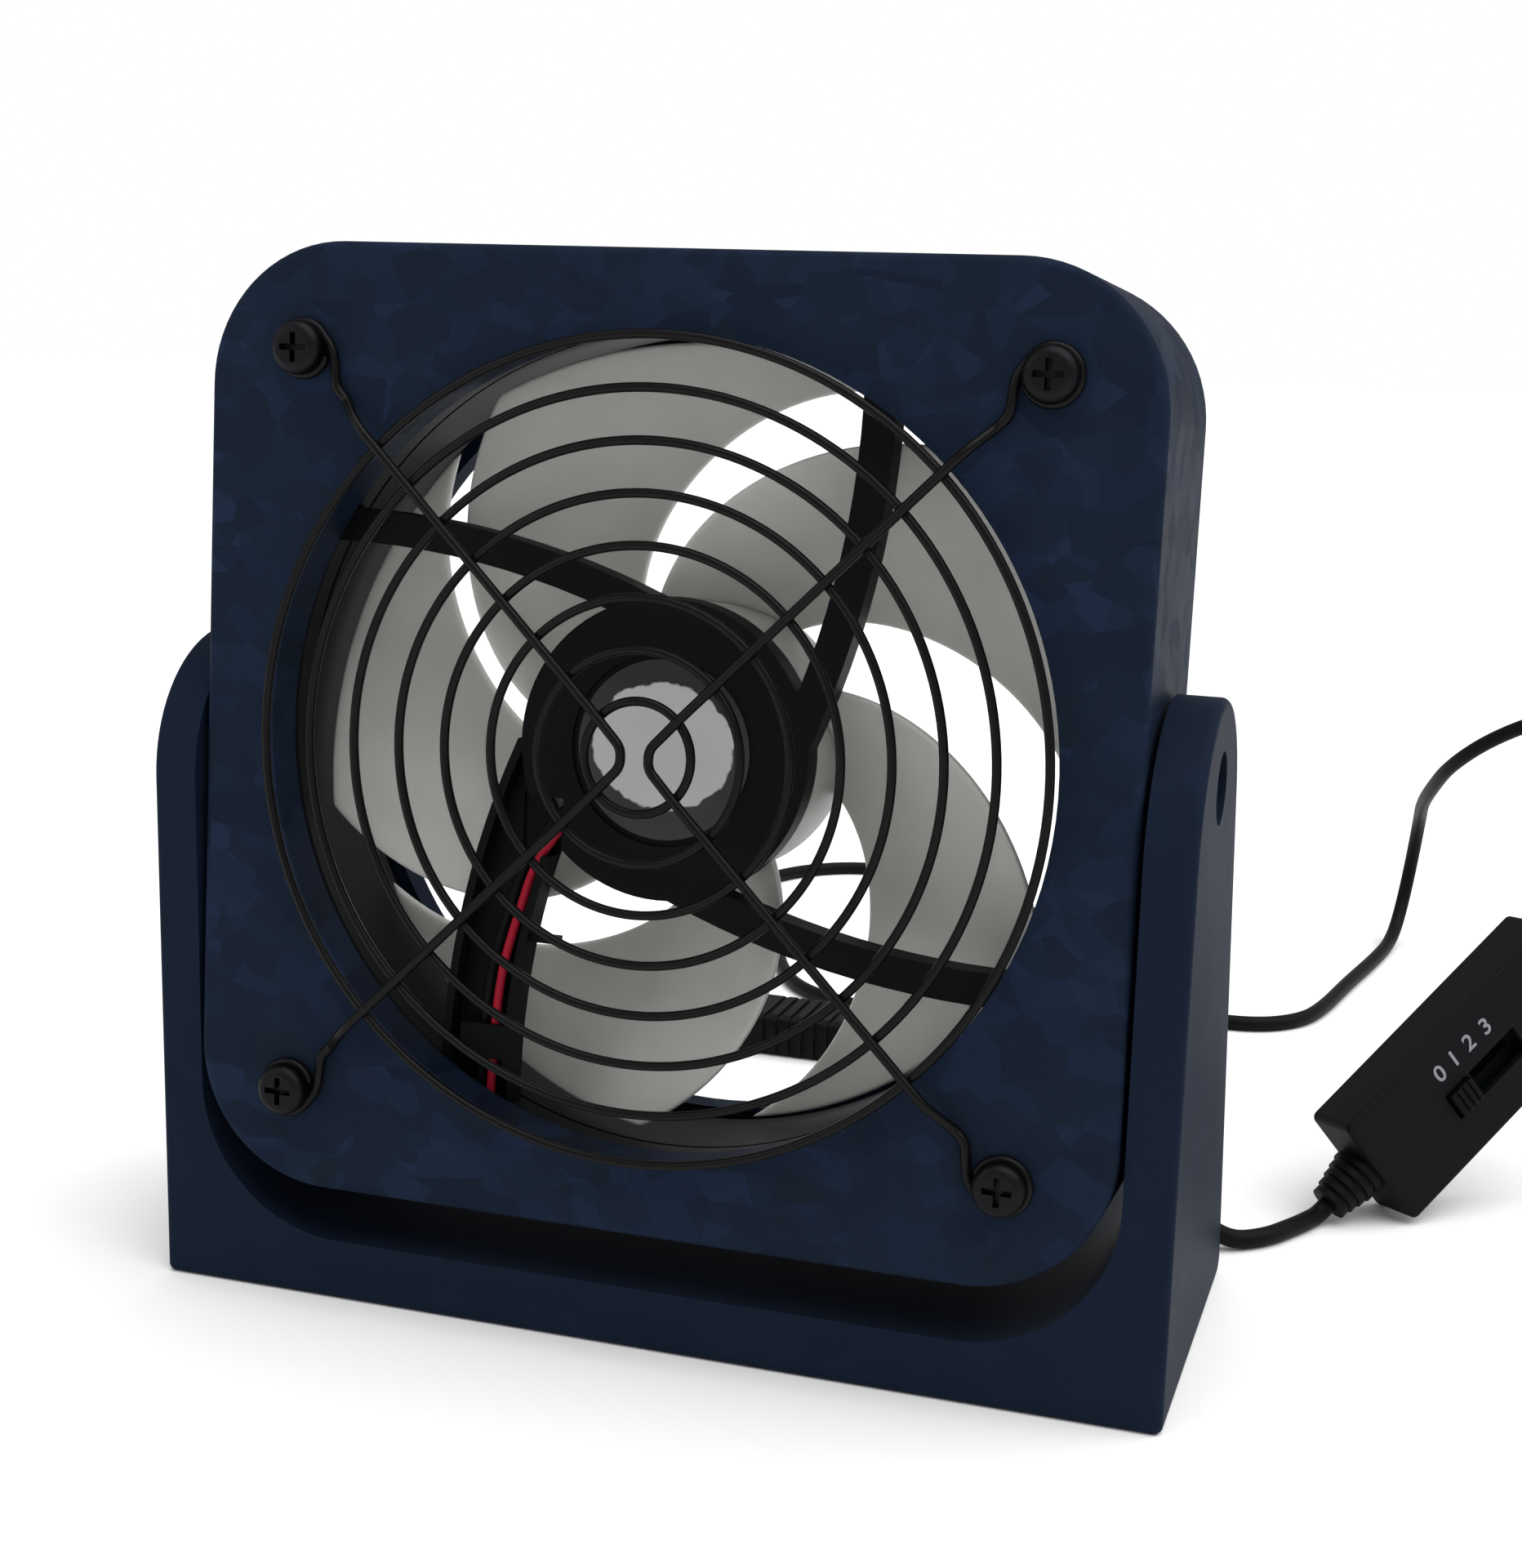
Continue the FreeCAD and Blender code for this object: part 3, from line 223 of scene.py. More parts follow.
def wire(path, radius, sides=14, closed=False, square_to=(0.0, 1.0, 0.0)):
    """Round wire along a path: each station's circle lies square to the path, in the plane of
    two directions, one as near as possible to square_to. Open ends are domed."""
    path = np.asarray(path, float)
    if closed:
        along = np.roll(path, -1, 0) - np.roll(path, 1, 0)
    else:
        along = np.gradient(path, axis=0)
    along /= np.linalg.norm(along, axis=1)[:, None]
    radii = np.full(len(path), radius)
    if not closed:
        dome_steps = 5
        turn = np.linspace(0, math.pi / 2, dome_steps + 1)
        reach = radius * (1 - np.sin(turn))[:, None]
        first = path[0] - along[0] * (radius - reach)[::-1]
        last = path[-1] + along[-1] * (radius - reach)
        cap = radius * np.cos(turn)
        path = np.concatenate([first[:-1], path, last[1:]])
        radii = np.concatenate([cap[::-1][:-1], radii, cap[1:]])
        along = np.concatenate([np.repeat(along[:1], dome_steps, 0), along,
                                np.repeat(along[-1:], dome_steps, 0)])
    up = np.asarray(square_to) - along * (along @ np.asarray(square_to))[:, None]
    up /= np.linalg.norm(up, axis=1)[:, None]
    side = np.cross(along, up)
    turn = np.linspace(0, 2 * math.pi, sides, endpoint=False)
    ring = np.cos(turn)[None, :, None] * up[:, None] + np.sin(turn)[None, :, None] * side[:, None]
    points = path[:, None] + radii[:, None, None] * ring
    return points, grid_faces(len(path), sides, closed, True)


def rounded_path(corners, share=0.4, steps=7):
    """Straight runs joined by tangent arcs. Each arc starts at share of the shorter run from
    its corner, so its radius is that setback over the tangent of half the turn."""
    corners = [np.asarray(c, float) for c in corners]
    path = [corners[0]]
    for before, corner, after in zip(corners, corners[1:], corners[2:]):
        inward, outward = corner - before, after - corner
        run_in, run_out = np.linalg.norm(inward), np.linalg.norm(outward)
        inward, outward = inward / run_in, outward / run_out
        setback = share * min(run_in, run_out)
        turn = math.acos(np.clip(inward @ outward, -1, 1))
        if turn < 1e-4:
            path.append(corner)
            continue
        start = corner - setback * inward
        radius = setback / math.tan(turn / 2)
        normal = outward - inward * (inward @ outward)
        normal /= np.linalg.norm(normal)
        angle = np.linspace(0, turn, steps)[:, None]
        path.extend(start + radius * (np.sin(angle) * inward + (1 - np.cos(angle)) * normal))
    path.append(corners[-1])
    path = np.array(path)
    step = np.linalg.norm(np.diff(path, axis=0), axis=1)
    return path[np.concatenate([[True], step > 1e-6])]


def lathe(profile, steps=96):
    """Profile of (radius, y) pairs carried round the y axis."""
    profile = np.asarray(profile, float)
    turn = np.linspace(0, 2 * math.pi, steps, endpoint=False)
    r = profile[:, 0][None, :]
    y = np.broadcast_to(profile[:, 1][None, :], (steps, len(profile)))
    points = np.stack([np.cos(turn)[:, None] * r, y, np.sin(turn)[:, None] * r], axis=-1)
    return points, grid_faces(steps, len(profile), True, False)


def bezel(profile, radius, steps=4):
    """Rounds every inner corner of a (radius, y) profile with a quadratic curve whose
    ends lie radius from the corner, or half the shorter side where that is nearer."""
    profile = np.asarray(profile, float)
    made = [profile[0]]
    for before, corner, after in zip(profile, profile[1:], profile[2:]):
        a, b = before - corner, after - corner
        la, lb = np.linalg.norm(a), np.linalg.norm(b)
        back = min(radius, la / 2, lb / 2)
        p, q = corner + a / la * back, corner + b / lb * back
        t = np.linspace(0, 1, steps)[:, None]
        made.extend((1 - t) ** 2 * p + 2 * t * (1 - t) * corner + t ** 2 * q)
    made.append(profile[-1])
    return np.array(made)


# ---------------------------------------------------------------- sizes and colours
class FanSizes(bpy.types.PropertyGroup):
    """Sizes a user would change, in metres."""
    ring_wire: bpy.props.FloatProperty(
        name="Ring wire", description="Diameter of the guard's round wires",
        default=0.0013, min=0.0005, unit="LENGTH", subtype="DISTANCE")
    spoke_wire: bpy.props.FloatProperty(
        name="Spoke wire", description="Diameter of the guard's two bent wires",
        default=0.00136, min=0.0005, unit="LENGTH", subtype="DISTANCE")
    eye_radius: bpy.props.FloatProperty(
        name="Eye radius", description="Radius of the guard's eyes round the screws",
        default=0.0036, min=0.001, unit="LENGTH", subtype="DISTANCE")
    cord: bpy.props.FloatProperty(
        name="Cord", description="Diameter of the cord",
        default=0.003, min=0.001, unit="LENGTH", subtype="DISTANCE")
    facet: bpy.props.FloatProperty(
        name="Paint facet", description="Width of one patch of the paint's mottle",
        default=0.008, min=0.001, unit="LENGTH", subtype="DISTANCE")


class FanColours(bpy.types.PropertyGroup):
    """Colours a user would change, linear."""
    case: bpy.props.FloatVectorProperty(
        name="Case", description="Navy paint of the head and the stand",
        default=linear("#151d2c"), size=3, min=0, max=1, subtype="COLOR")
    case_patch: bpy.props.FloatVectorProperty(
        name="Case patch", description="Lighter patches of the navy paint",
        default=linear("#1d283d"), size=3, min=0, max=1, subtype="COLOR")
    case_shade: bpy.props.FloatVectorProperty(
        name="Case shade", description="Slightly greener patches of the navy paint",
        default=linear("#17202c"), size=3, min=0, max=1, subtype="COLOR")
    blade: bpy.props.FloatVectorProperty(
        name="Blades", description="Frosted plastic of the impeller",
        default=linear("#bebeba"), size=3, min=0, max=1, subtype="COLOR")
    black: bpy.props.FloatVectorProperty(
        name="Black plastic", description="Fan frame and motor cover",
        default=linear("#0a0b0d"), size=3, min=0, max=1, subtype="COLOR")
    controller: bpy.props.FloatVectorProperty(
        name="Controller", description="Case of the in-line controller",
        default=linear("#111014"), size=3, min=0, max=1, subtype="COLOR")
    label: bpy.props.FloatVectorProperty(
        name="Label", description="Bare field of the motor label",
        default=linear("#b4b4b4"), size=3, min=0, max=1, subtype="COLOR")
    red: bpy.props.FloatVectorProperty(
        name="Red lead", description="Insulation of the red lead",
        default=linear("#a01c30"), size=3, min=0, max=1, subtype="COLOR")


def sizes():
    """The scene's sizes."""
    return bpy.context.scene.fan_sizes


def colours():
    """The scene's colours."""
    return bpy.context.scene.fan_colours


# ---------------------------------------------------------------- materials
def navy_satin_paint(name, mottle):
    """Sprayed satin paint on moulded plastic: dark navy, broken by mottle (0 to 1) into angular
    patches that lie a little lighter, bluer or greener, over a low orange peel."""
    roughness, spread = 0.5, 0.05
    material, tree, shader = new_material(name, colours().case, roughness, specular=0.02)
    where = object_place(tree)
    slanted = add(tree, "ShaderNodeMapping",
                  {"Vector": where, "Rotation": (0.0, 0.6, 0.0), "Scale": (1.0, 0.5, 1.7)})
    large = add(tree, "ShaderNodeTexVoronoi",
                {"Vector": slanted.outputs["Vector"], "Scale": 1.0 / sizes().facet})
    small = add(tree, "ShaderNodeTexVoronoi", {"Vector": where, "Scale": 1.7 / sizes().facet})
    one = add(tree, "ShaderNodeSeparateColor", {"Color": large.outputs["Color"]})
    two = add(tree, "ShaderNodeSeparateColor", {"Color": small.outputs["Color"]})
    both = add(tree, "ShaderNodeMath", {0: one.outputs["Red"], 1: two.outputs["Red"]},
               operation="MULTIPLY")
    light = add(tree, "ShaderNodeMath", {0: both.outputs["Value"], 1: mottle}, operation="MULTIPLY")
    shade = add(tree, "ShaderNodeMath", {0: one.outputs["Green"], 1: 0.8 * mottle},
                operation="MULTIPLY")
    first = add(tree, "ShaderNodeMix",
                {0: shade.outputs["Value"], 6: rgba(colours().case), 7: rgba(colours().case_shade)},
                data_type="RGBA")
    mixed = add(tree, "ShaderNodeMix",
                {0: light.outputs["Value"], 6: first.outputs[2], 7: rgba(colours().case_patch)},
                data_type="RGBA")
    tree.links.new(mixed.outputs[2], shader.inputs["Base Color"])
    gloss = add(tree, "ShaderNodeMapRange",
                {"Value": two.outputs["Green"], "To Min": roughness - spread * mottle,
                 "To Max": roughness + spread * mottle})
    tree.links.new(gloss.outputs["Result"], shader.inputs["Roughness"])
    noise_bump(tree, shader, where, 0.5, 0.006)
    return material


def textured_plastic(name, colour, roughness, grain=0.35, height=0.012, specular=0.07):
    """Moulded plastic from an eroded tool: an even fine grain that breaks up the gloss."""
    material, tree, shader = new_material(name, colour, roughness, specular=specular)
    noise_bump(tree, shader, object_place(tree), grain, height)
    return material


def coated_wire():
    """Satin black coating on steel wire: smooth, with soft runs that catch the light."""
    material, tree, shader = new_material("black_powder_coat", linear("#070708"), 0.34, specular=0.13)
    noise_bump(tree, shader, object_place(tree), 1.2, 0.02)
    return material


def frosted_plastic():
    """Milky injection-moulded plastic: light passes into it and scatters, so edges glow and
    nothing shows through."""
    material, tree, shader = new_material("frosted_polypropylene", colours().blade, 0.42, ior=1.49)
    where = object_place(tree)
    cloud = add(tree, "ShaderNodeTexNoise", {"Vector": where, "Scale": per_mm(9), "Detail": 3.0})
    mixed = add(tree, "ShaderNodeMix",
                {0: cloud.outputs["Fac"], 6: rgba(colours().blade), 7: rgba(linear("#adada9"))},
                data_type="RGBA")
    tree.links.new(mixed.outputs[2], shader.inputs["Base Color"])
    shader.inputs["Subsurface Weight"].default_value = 0.75
    shader.inputs["Subsurface Radius"].default_value = (0.004, 0.004, 0.004)
    shader.inputs["Subsurface Scale"].default_value = 1.0
    noise_bump(tree, shader, where, 0.4, 0.01)
    return material


def metal(name, colour, roughness, grain, stretch=(1, 1, 1), height=0.004):
    """Bare metal with a fine grain in its relief, stretched where the tool's path shows."""
    material, tree, shader = new_material(name, colour, roughness, metallic=1.0)
    mapping = add(tree, "ShaderNodeMapping", {"Vector": object_place(tree), "Scale": stretch})
    noise_bump(tree, shader, mapping.outputs["Vector"], grain, height)
    return material


def cord_jacket(name, colour, roughness=0.5):
    """Extruded soft jacket: matt, with a faint even grain."""
    material, tree, shader = new_material(name, colour, roughness, specular=0.08)
    noise_bump(tree, shader, object_place(tree), 0.3, 0.008)
    return material


# ---------------------------------------------------------------- operators
class FAN_OT_case(bpy.types.Operator):
    """Paints the stand and the head, and finishes the washers, the shaft's clip and the inserts"""
    bl_idname = "fan.case"
    bl_label = "Case and pivots"

    def execute(self, context):
        dress_nodes(["head_housing", "rear_plate"], navy_satin_paint("navy_mottled_paint", 1.0))
        dress_nodes(["stand_bracket"], navy_satin_paint("navy_satin_paint", 0.2))
        dress_nodes(["pivot_washers", "shaft_clip"],
                    textured_plastic("natural_nylon", linear("#d6d5cd"), 0.45))
        dress_nodes(["pivot_inserts"], metal("turned_brass", linear("#c8a862"), 0.35, 0.2))
        return {"FINISHED"}


class FAN_OT_guard(bpy.types.Operator):
    """Builds the guard from eight round wires and two bent wires with an eye at each end"""
    bl_idname = "fan.guard"
    bl_label = "Finger guard"

    ring_count = 8
    first_ring = 7.6
    ring_pitch = 6.9
    ring_y = FACE_Y - 3.0
    weld = 0.25                      # how far a spoke sinks into the rings
    eye_gap = 0.06                   # from an eye to the head's face
    eye_turn = 290                   # degrees of wire round a screw
    s_bend = (3.4, 7.4)              # its start and end, short of the screw
    s_bend_in = 0.4                  # how much nearer the diagonal its start is
    step = (64.6, 59.8)              # its foot and top, from the centre
    knee = (6.5, 6.1)                # aside and up from the centre
    apex = (2.0, 1.3)                # the same, nearest the centre

    def execute(self, context):
        ring_r = sizes().ring_wire / MM / 2
        spoke_r = sizes().spoke_wire / MM / 2
        turn = np.linspace(0, 2 * math.pi, 160, endpoint=False)
        rings = []
        for i in range(self.ring_count):
            radius = self.first_ring + i * self.ring_pitch
            path = np.stack([radius * np.cos(turn), np.full(len(turn), self.ring_y), radius * np.sin(turn)],
                            axis=-1)
            rings.append(wire(path, ring_r, 12, closed=True))
        spokes = [wire(self.bent_wire(side, ring_r, spoke_r), spoke_r) for side in (-1, 1)]
        guard = new_piece("guard_wires", rings + spokes, coated_wire(), HEAD)
        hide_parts("finger_guard")
        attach(guard, "head")
        return {"FINISHED"}

    def bent_wire(self, side, ring_r, spoke_r):
        """One bent wire. From its free end: most of a turn round the screw, an S-bend on to the
        head's diagonal, a step up to the rings' plane, the straight spoke and the bend near the
        centre; then the same below. "along" runs out on the diagonal, "across" square to it."""
        eye = sizes().eye_radius / MM
        spoke_y = self.ring_y - ring_r - spoke_r + self.weld
        eye_y = FACE_Y - spoke_r - self.eye_gap
        corner = HALF_HOLE * math.sqrt(2)
        turn = np.radians(np.linspace(self.eye_turn, 0, 34))
        along = np.concatenate([corner + eye * np.sin(turn),
                                [corner - self.s_bend[0], corner - self.s_bend[1], *self.step]])
        across = np.concatenate([eye * np.cos(turn), [eye - self.s_bend_in, 0.0, 0.0, 0.0]])
        depth = np.concatenate([np.full(len(along) - 1, eye_y), [spoke_y]])
        half = np.stack([side * (along - across), depth * math.sqrt(2), along + across], axis=-1)
        half = (half / math.sqrt(2)).tolist()
        half += [(side * x, spoke_y, z) for x, z in (self.knee, self.apex)]
        return rounded_path(half + [(x, y, -z) for x, y, z in reversed(half)])


class FAN_OT_screws(bpy.types.Operator):
    """Finishes the guard's screws and nuts and the pivot screws"""
    bl_idname = "fan.screws"
    bl_label = "Screws and nuts"

    def execute(self, context):
        dress_nodes(["guard_screws", "pivot_screws"],
                    metal("black_oxide_steel", linear("#1f1f21"), 0.45, 0.3))
        dress_nodes(["guard_nuts", "rotor_yoke"],
                    metal("zinc_plated_steel", linear("#b9bbbe"), 0.32, 0.25))
        return {"FINISHED"}


class FAN_OT_impeller(bpy.types.Operator):
    """Builds the impeller: a lathed hub and five swept blades"""
    bl_idname = "fan.impeller"
    bl_label = "Impeller"

    blade_count = 5
    hub_r = 20.3
    tip_r = 56.2
    thickness = 1.7                  # along the shaft
    camber = 1.6
    back_gap, front_gap = 2.6, 5.6   # from the fan's rear and front to the blades' edges
    span_steps, chord_steps = 44, 40
    # radius, leading edge angle, trailing edge angle, inset of both edges
    rows = np.array([(17.0, 129.5, 176.5, 0.0), (28.0, 112.0, 162.3, 0.2), (38.0, 95.6, 148.4, 0.7),
                     (48.0, 79.6, 134.2, 1.5), (58.5, 58.5, 118.4, 2.8)])

    def execute(self, context):
        blade_points, blade_faces = self.blade()
        parts = [lathe(self.hub_profile(), 128)]
        for i in range(self.blade_count):
            turn = Matrix.Rotation(2 * math.pi * i / self.blade_count, 4, "Y")
            parts.append((moved(blade_points, turn), blade_faces))
        impeller = new_piece("impeller_blades", parts, frosted_plastic(), HEAD)
        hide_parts("impeller")
        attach(impeller, "rotor")
        return {"FINISHED"}

    def hub_profile(self):
        """Cup open to the front, from the middle of its floor: inner wall, rim, outer wall, and
        the back with a shallow ring groove and a dimple at the shaft."""
        front, back = MOTOR_FACE + 5.2, FAN_REAR - 0.8
        inner_r, inner_back = 18.65, FAN_REAR - 2.55
        groove_out, groove_in, groove_floor = 14.6, 13.8, back - 0.45
        dimple_rim, dimple_r, dimple_floor = 4.0, 3.4, back - 0.5
        outline = [(inner_r, inner_back), (inner_r, front), (self.hub_r, front), (self.hub_r, back),
                   (groove_out, back), (groove_out, groove_floor), (groove_in, groove_floor),
                   (groove_in, back), (dimple_rim, back), (dimple_r, dimple_floor), (0.0, dimple_floor)]
        return np.concatenate([[(0.0, inner_back)], bezel(outline, 0.35)])

    def blade(self):
        """Section of thickness along the shaft, with rounded edges, carried outward; angle and
        inset of each radius come from the quartic through the five rows. Along the chord t the
        depth goes evenly from the back to the front, plus a sine arch of the camber. The section
        is squeezed flat at the root, inside the hub's wall, and over a round tip."""
        middle_r = self.rows[2, 0]
        fits = [np.polyfit(self.rows[:, 0] - middle_r, self.rows[:, k], 4) for k in (1, 2, 3)]
        round_tip = np.linspace(0.3, math.pi / 2, 5)
        root, shoulder, tip_round = self.hub_r - 0.5, self.tip_r - 0.6, 0.6
        radii = np.concatenate([[root], np.linspace(root, shoulder, self.span_steps),
                                shoulder + tip_round * np.sin(round_tip)])
        squeeze = np.concatenate([[0.0], np.ones(self.span_steps), np.cos(round_tip)]).round(9)
        lead, trail, inset = [np.polyval(f, radii - middle_r)[:, None] for f in fits]
        round_edge = np.linspace(0, math.pi, 9)[1:-1]
        edge = 0.018
        face = np.linspace(edge, 1 - edge, self.chord_steps)
        t = np.concatenate([face, 1 - edge + edge * np.sin(round_edge), face[::-1],
                            edge - edge * np.sin(round_edge)])[None, :]
        h = np.concatenate([np.zeros(len(face)), 0.5 - 0.5 * np.cos(round_edge), np.ones(len(face)),
                            0.5 + 0.5 * np.cos(round_edge)])[None, :]
        first, last = FAN_REAR - self.back_gap - self.thickness, FAN_FRONT + self.front_gap
        y = first - inset + (last - first + 2 * inset) * t + self.camber * np.sin(math.pi * t)
        y = y + self.thickness * (0.5 + (h - 0.5) * squeeze[:, None])
        angle = np.radians(lead + (trail - lead) * t)
        points = np.stack([radii[:, None] * np.cos(angle), y, radii[:, None] * np.sin(angle)], axis=-1)
        return points, grid_faces(*points.shape[:2], False, True)


class FAN_OT_motor(bpy.types.Operator):
    """Finishes the fan's frame, the motor's parts and the circuit boards"""
    bl_idname = "fan.motor"
    bl_label = "Fan frame and motor"

    def execute(self, context):
        dress_nodes(["fan_frame"], textured_plastic("black_glass_filled_pbt", colours().black, 0.5, 0.4))
        dress_nodes(["stator_insulators", "plug_tongue"],
                    textured_plastic("black_nylon", linear("#19191b"), 0.5))
        dress_nodes(["bearing_sleeve"], metal("sintered_bronze", linear("#a57c4a"), 0.5, 0.15))
        dress_nodes(["stator_core"],
                    metal("silicon_steel_stack", linear("#7a7b7d"), 0.45, 0.5, (1, 8, 1)))
        dress_nodes(["coil_windings"],
                    metal("enamelled_copper", linear("#b5663a"), 0.3, 0.3, (1, 5, 1), 0.05))
        dress_nodes(["motor_board", "controller_board"],
                    textured_plastic("solder_mask_green", linear("#1c5a38"), 0.35))
        dress_nodes(["magnet_ring"], textured_plastic("pressed_ferrite", linear("#3d3a3a"), 0.6))
        dress_nodes(["motor_shaft"], metal("ground_steel", linear("#c4c5c8"), 0.2, 0.1))
        return {"FINISHED"}


class FAN_OT_label(bpy.types.Operator):
    """Builds the motor's round label: a black film disc with a bare pale field"""
    bl_idname = "fan.label"
    bl_label = "Motor label"

    radius = 12.6
    thickness = 0.25
    half_width, half_height = 10.4 * MM, 8.8 * MM    # of the pale field
    field_rise = 0.5                 # from the shaft's line up to the field's middle

    def execute(self, context):
        front = MOTOR_FACE + 0.25
        outline = [(self.radius, front + self.thickness), (self.radius, front), (0.0, front)]
        label = new_piece("label_disc", [lathe(bezel(outline, 0.12, 3))], self.film(), HEAD)
        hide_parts("motor_label")
        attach(label, "head")
        return {"FINISHED"}

    def film(self):
        """Satin film printed black round a pale grey oval field with a slightly worn edge. The
        place is measured from the field's middle in half widths and half heights."""
        material, tree, shader = new_material("satin_label_film", colours().label, 0.42)
        where = object_place(tree)
        middle = moved(np.array([0.0, MOTOR_FACE, self.field_rise]), HEAD) * MM
        shape = add(tree, "ShaderNodeMapping",
                    {"Vector": where, "Scale": (1 / self.half_width, 0, 1 / self.half_height)})
        offset = add(tree, "ShaderNodeVectorMath",
                     {0: shape.outputs["Vector"],
                      1: (-middle[0] / self.half_width, 0, -middle[2] / self.half_height)},
                     operation="ADD")
        reach = add(tree, "ShaderNodeVectorMath", {0: offset.outputs["Vector"]}, operation="LENGTH")
        wear = add(tree, "ShaderNodeTexNoise", {"Vector": where, "Scale": per_mm(2.0), "Detail": 3.0})
        edge = add(tree, "ShaderNodeMath", {0: wear.outputs["Fac"], 1: 0.16, 2: reach.outputs["Value"]},
                   operation="MULTIPLY_ADD")
        inside = add(tree, "ShaderNodeMapRange",
                     {"Value": edge.outputs["Value"], "From Min": 1.06, "From Max": 1.09})
        mixed = add(tree, "ShaderNodeMix",
                    {0: inside.outputs["Result"], 6: rgba(colours().label), 7: rgba(colours().black)},
                    data_type="RGBA")
        tree.links.new(mixed.outputs[2], shader.inputs["Base Color"])
        return material


class FAN_OT_leads(bpy.types.Operator):
    """Lays the two free cords and finishes the leads, the strain reliefs and the plug's grip"""
    bl_idname = "fan.leads"
    bl_label = "Cords and leads"

    def execute(self, context):
        jacket = cord_jacket("black_pvc_jacket", linear("#0b0b0c"))
        dress_nodes(["black_lead", "cord_gland", "relief_near", "relief_far", "plug_grip"], jacket)
        dress_nodes(["red_lead", "controller_wires"],
                    cord_jacket("red_pvc_insulation", colours().red, 0.35))
        centre = rounded_path(FAN_LEAD, 0.45, 12)
        fan_lead = new_piece("fan_cord", [wire(self.even(centre), sizes().cord / MM / 2, 20)], jacket)
        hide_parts("fan_lead")
        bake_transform(fan_lead)
        supply = self.lay("supply_cord", SUPPLY_LEAD, jacket)
        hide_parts("supply_lead")
        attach(supply, "stand")
        return {"FINISHED"}

    def metres(self, place):
        """A route's point in metres."""
        return tuple(c * MM for c in place)

    def even(self, path, spacing=1.2):
        """The same line with stations at an even spacing, by length along it."""
        run = np.concatenate([[0.0], np.cumsum(np.linalg.norm(np.diff(path, axis=0), axis=1))])
        stops = np.linspace(0.0, run[-1], int(run[-1] / spacing))
        return np.stack([np.interp(stops, run, path[:, k]) for k in range(3)], axis=-1)

    def lay(self, name, route, material):
        """Round cord on a quadratic curve that touches the middle of every run of the route."""
        curve = bpy.data.curves.new(name, "CURVE")
        curve.dimensions = "3D"
        curve.bevel_depth = sizes().cord / 2
        curve.bevel_resolution = 5
        curve.resolution_u = 10
        curve.use_fill_caps = True
        spline = curve.splines.new("NURBS")
        spline.points.add(len(route) - 1)
        for point, place in zip(spline.points, route):
            point.co = (*self.metres(place), 1.0)
        spline.order_u = 3
        spline.use_endpoint_u = True
        curve.materials.append(material)
        cord = bpy.data.objects.new(name, curve)
        bpy.context.scene.collection.objects.link(cord)
        return cord


class FAN_OT_controller(bpy.types.Operator):
    """Finishes the controller and prints the numbers of its speeds"""
    bl_idname = "fan.controller"
    bl_label = "Controller"

    # digit, and its middle's place along and across the face
    digits = (("0", -6.4, 5.2), ("1", -2.9, 5.3), ("2", 0.9, 5.4), ("3", 4.9, 5.3))
    digit_height = 4.1
    ink_middle, ink_half = 0.015, 0.012

    def execute(self, context):
        dress_nodes(["controller_lower_shell", "controller_upper_shell"],
                    textured_plastic("black_textured_abs", colours().controller, 0.5, 0.4, 0.015, 0.06))
        dress_nodes(["speed_slider"], textured_plastic("black_acetal", linear("#0a0a0a"), 0.35))
        dress_nodes(["slide_switch"], textured_plastic("black_phenolic", linear("#101011"), 0.5))
        self.print_numbers()
        return {"FINISHED"}

    def print_numbers(self):
        """Digits 0 to 3 beside the slot, as thin ink standing just proud of the face."""
        ink, tree, shader = new_material("pale_pad_print_ink", linear("#85888b"), 0.5, specular=0.1)
        noise_bump(tree, shader, object_place(tree), 0.3, 0.004)
        marks = []
        for digit, x, y in self.digits:
            text = bpy.data.curves.new("digit", "FONT")
            text.body = digit
            text.size = self.digit_height
            text.align_x = "CENTER"
            text.align_y = "CENTER"
            text.extrude = self.ink_half
            text.offset = 0.06
            text.resolution_u = 6
            shown = bpy.data.objects.new("digit", text)
            bpy.context.scene.collection.objects.link(shown)
            bpy.context.view_layer.update()
            settled = shown.evaluated_get(bpy.context.evaluated_depsgraph_get())
            mesh = bpy.data.meshes.new_from_object(settled)
            mesh.transform(Matrix.Diagonal((MM, MM, MM, 1)) @ CONTROLLER
                           @ Matrix.Translation((x, y, CONTROLLER_FACE + self.ink_middle)))
            bpy.data.objects.remove(shown)
            marks.append(mesh)
        work = bmesh.new()
        for mesh in marks:
            work.from_mesh(mesh)
        joined = bpy.data.meshes.new("speed_numbers")
        work.to_mesh(joined)
        work.free()
        joined.materials.clear()
        joined.materials.append(ink)
        numbers = bpy.data.objects.new("speed_numbers", joined)
        bpy.context.scene.collection.objects.link(numbers)
        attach(numbers, "stand")


class FAN_OT_plug(bpy.types.Operator):
    """Finishes the plug's metal shell and contacts"""
    bl_idname = "fan.plug"
    bl_label = "Plug"

    def execute(self, context):
        dress_nodes(["plug_shell"], metal("nickel_plated_steel", linear("#c3c4c6"), 0.22, 0.3))
        dress_nodes(["plug_contacts"], metal("gold_flashed_brass", linear("#d9b25a"), 0.25, 0.2))
        return {"FINISHED"}


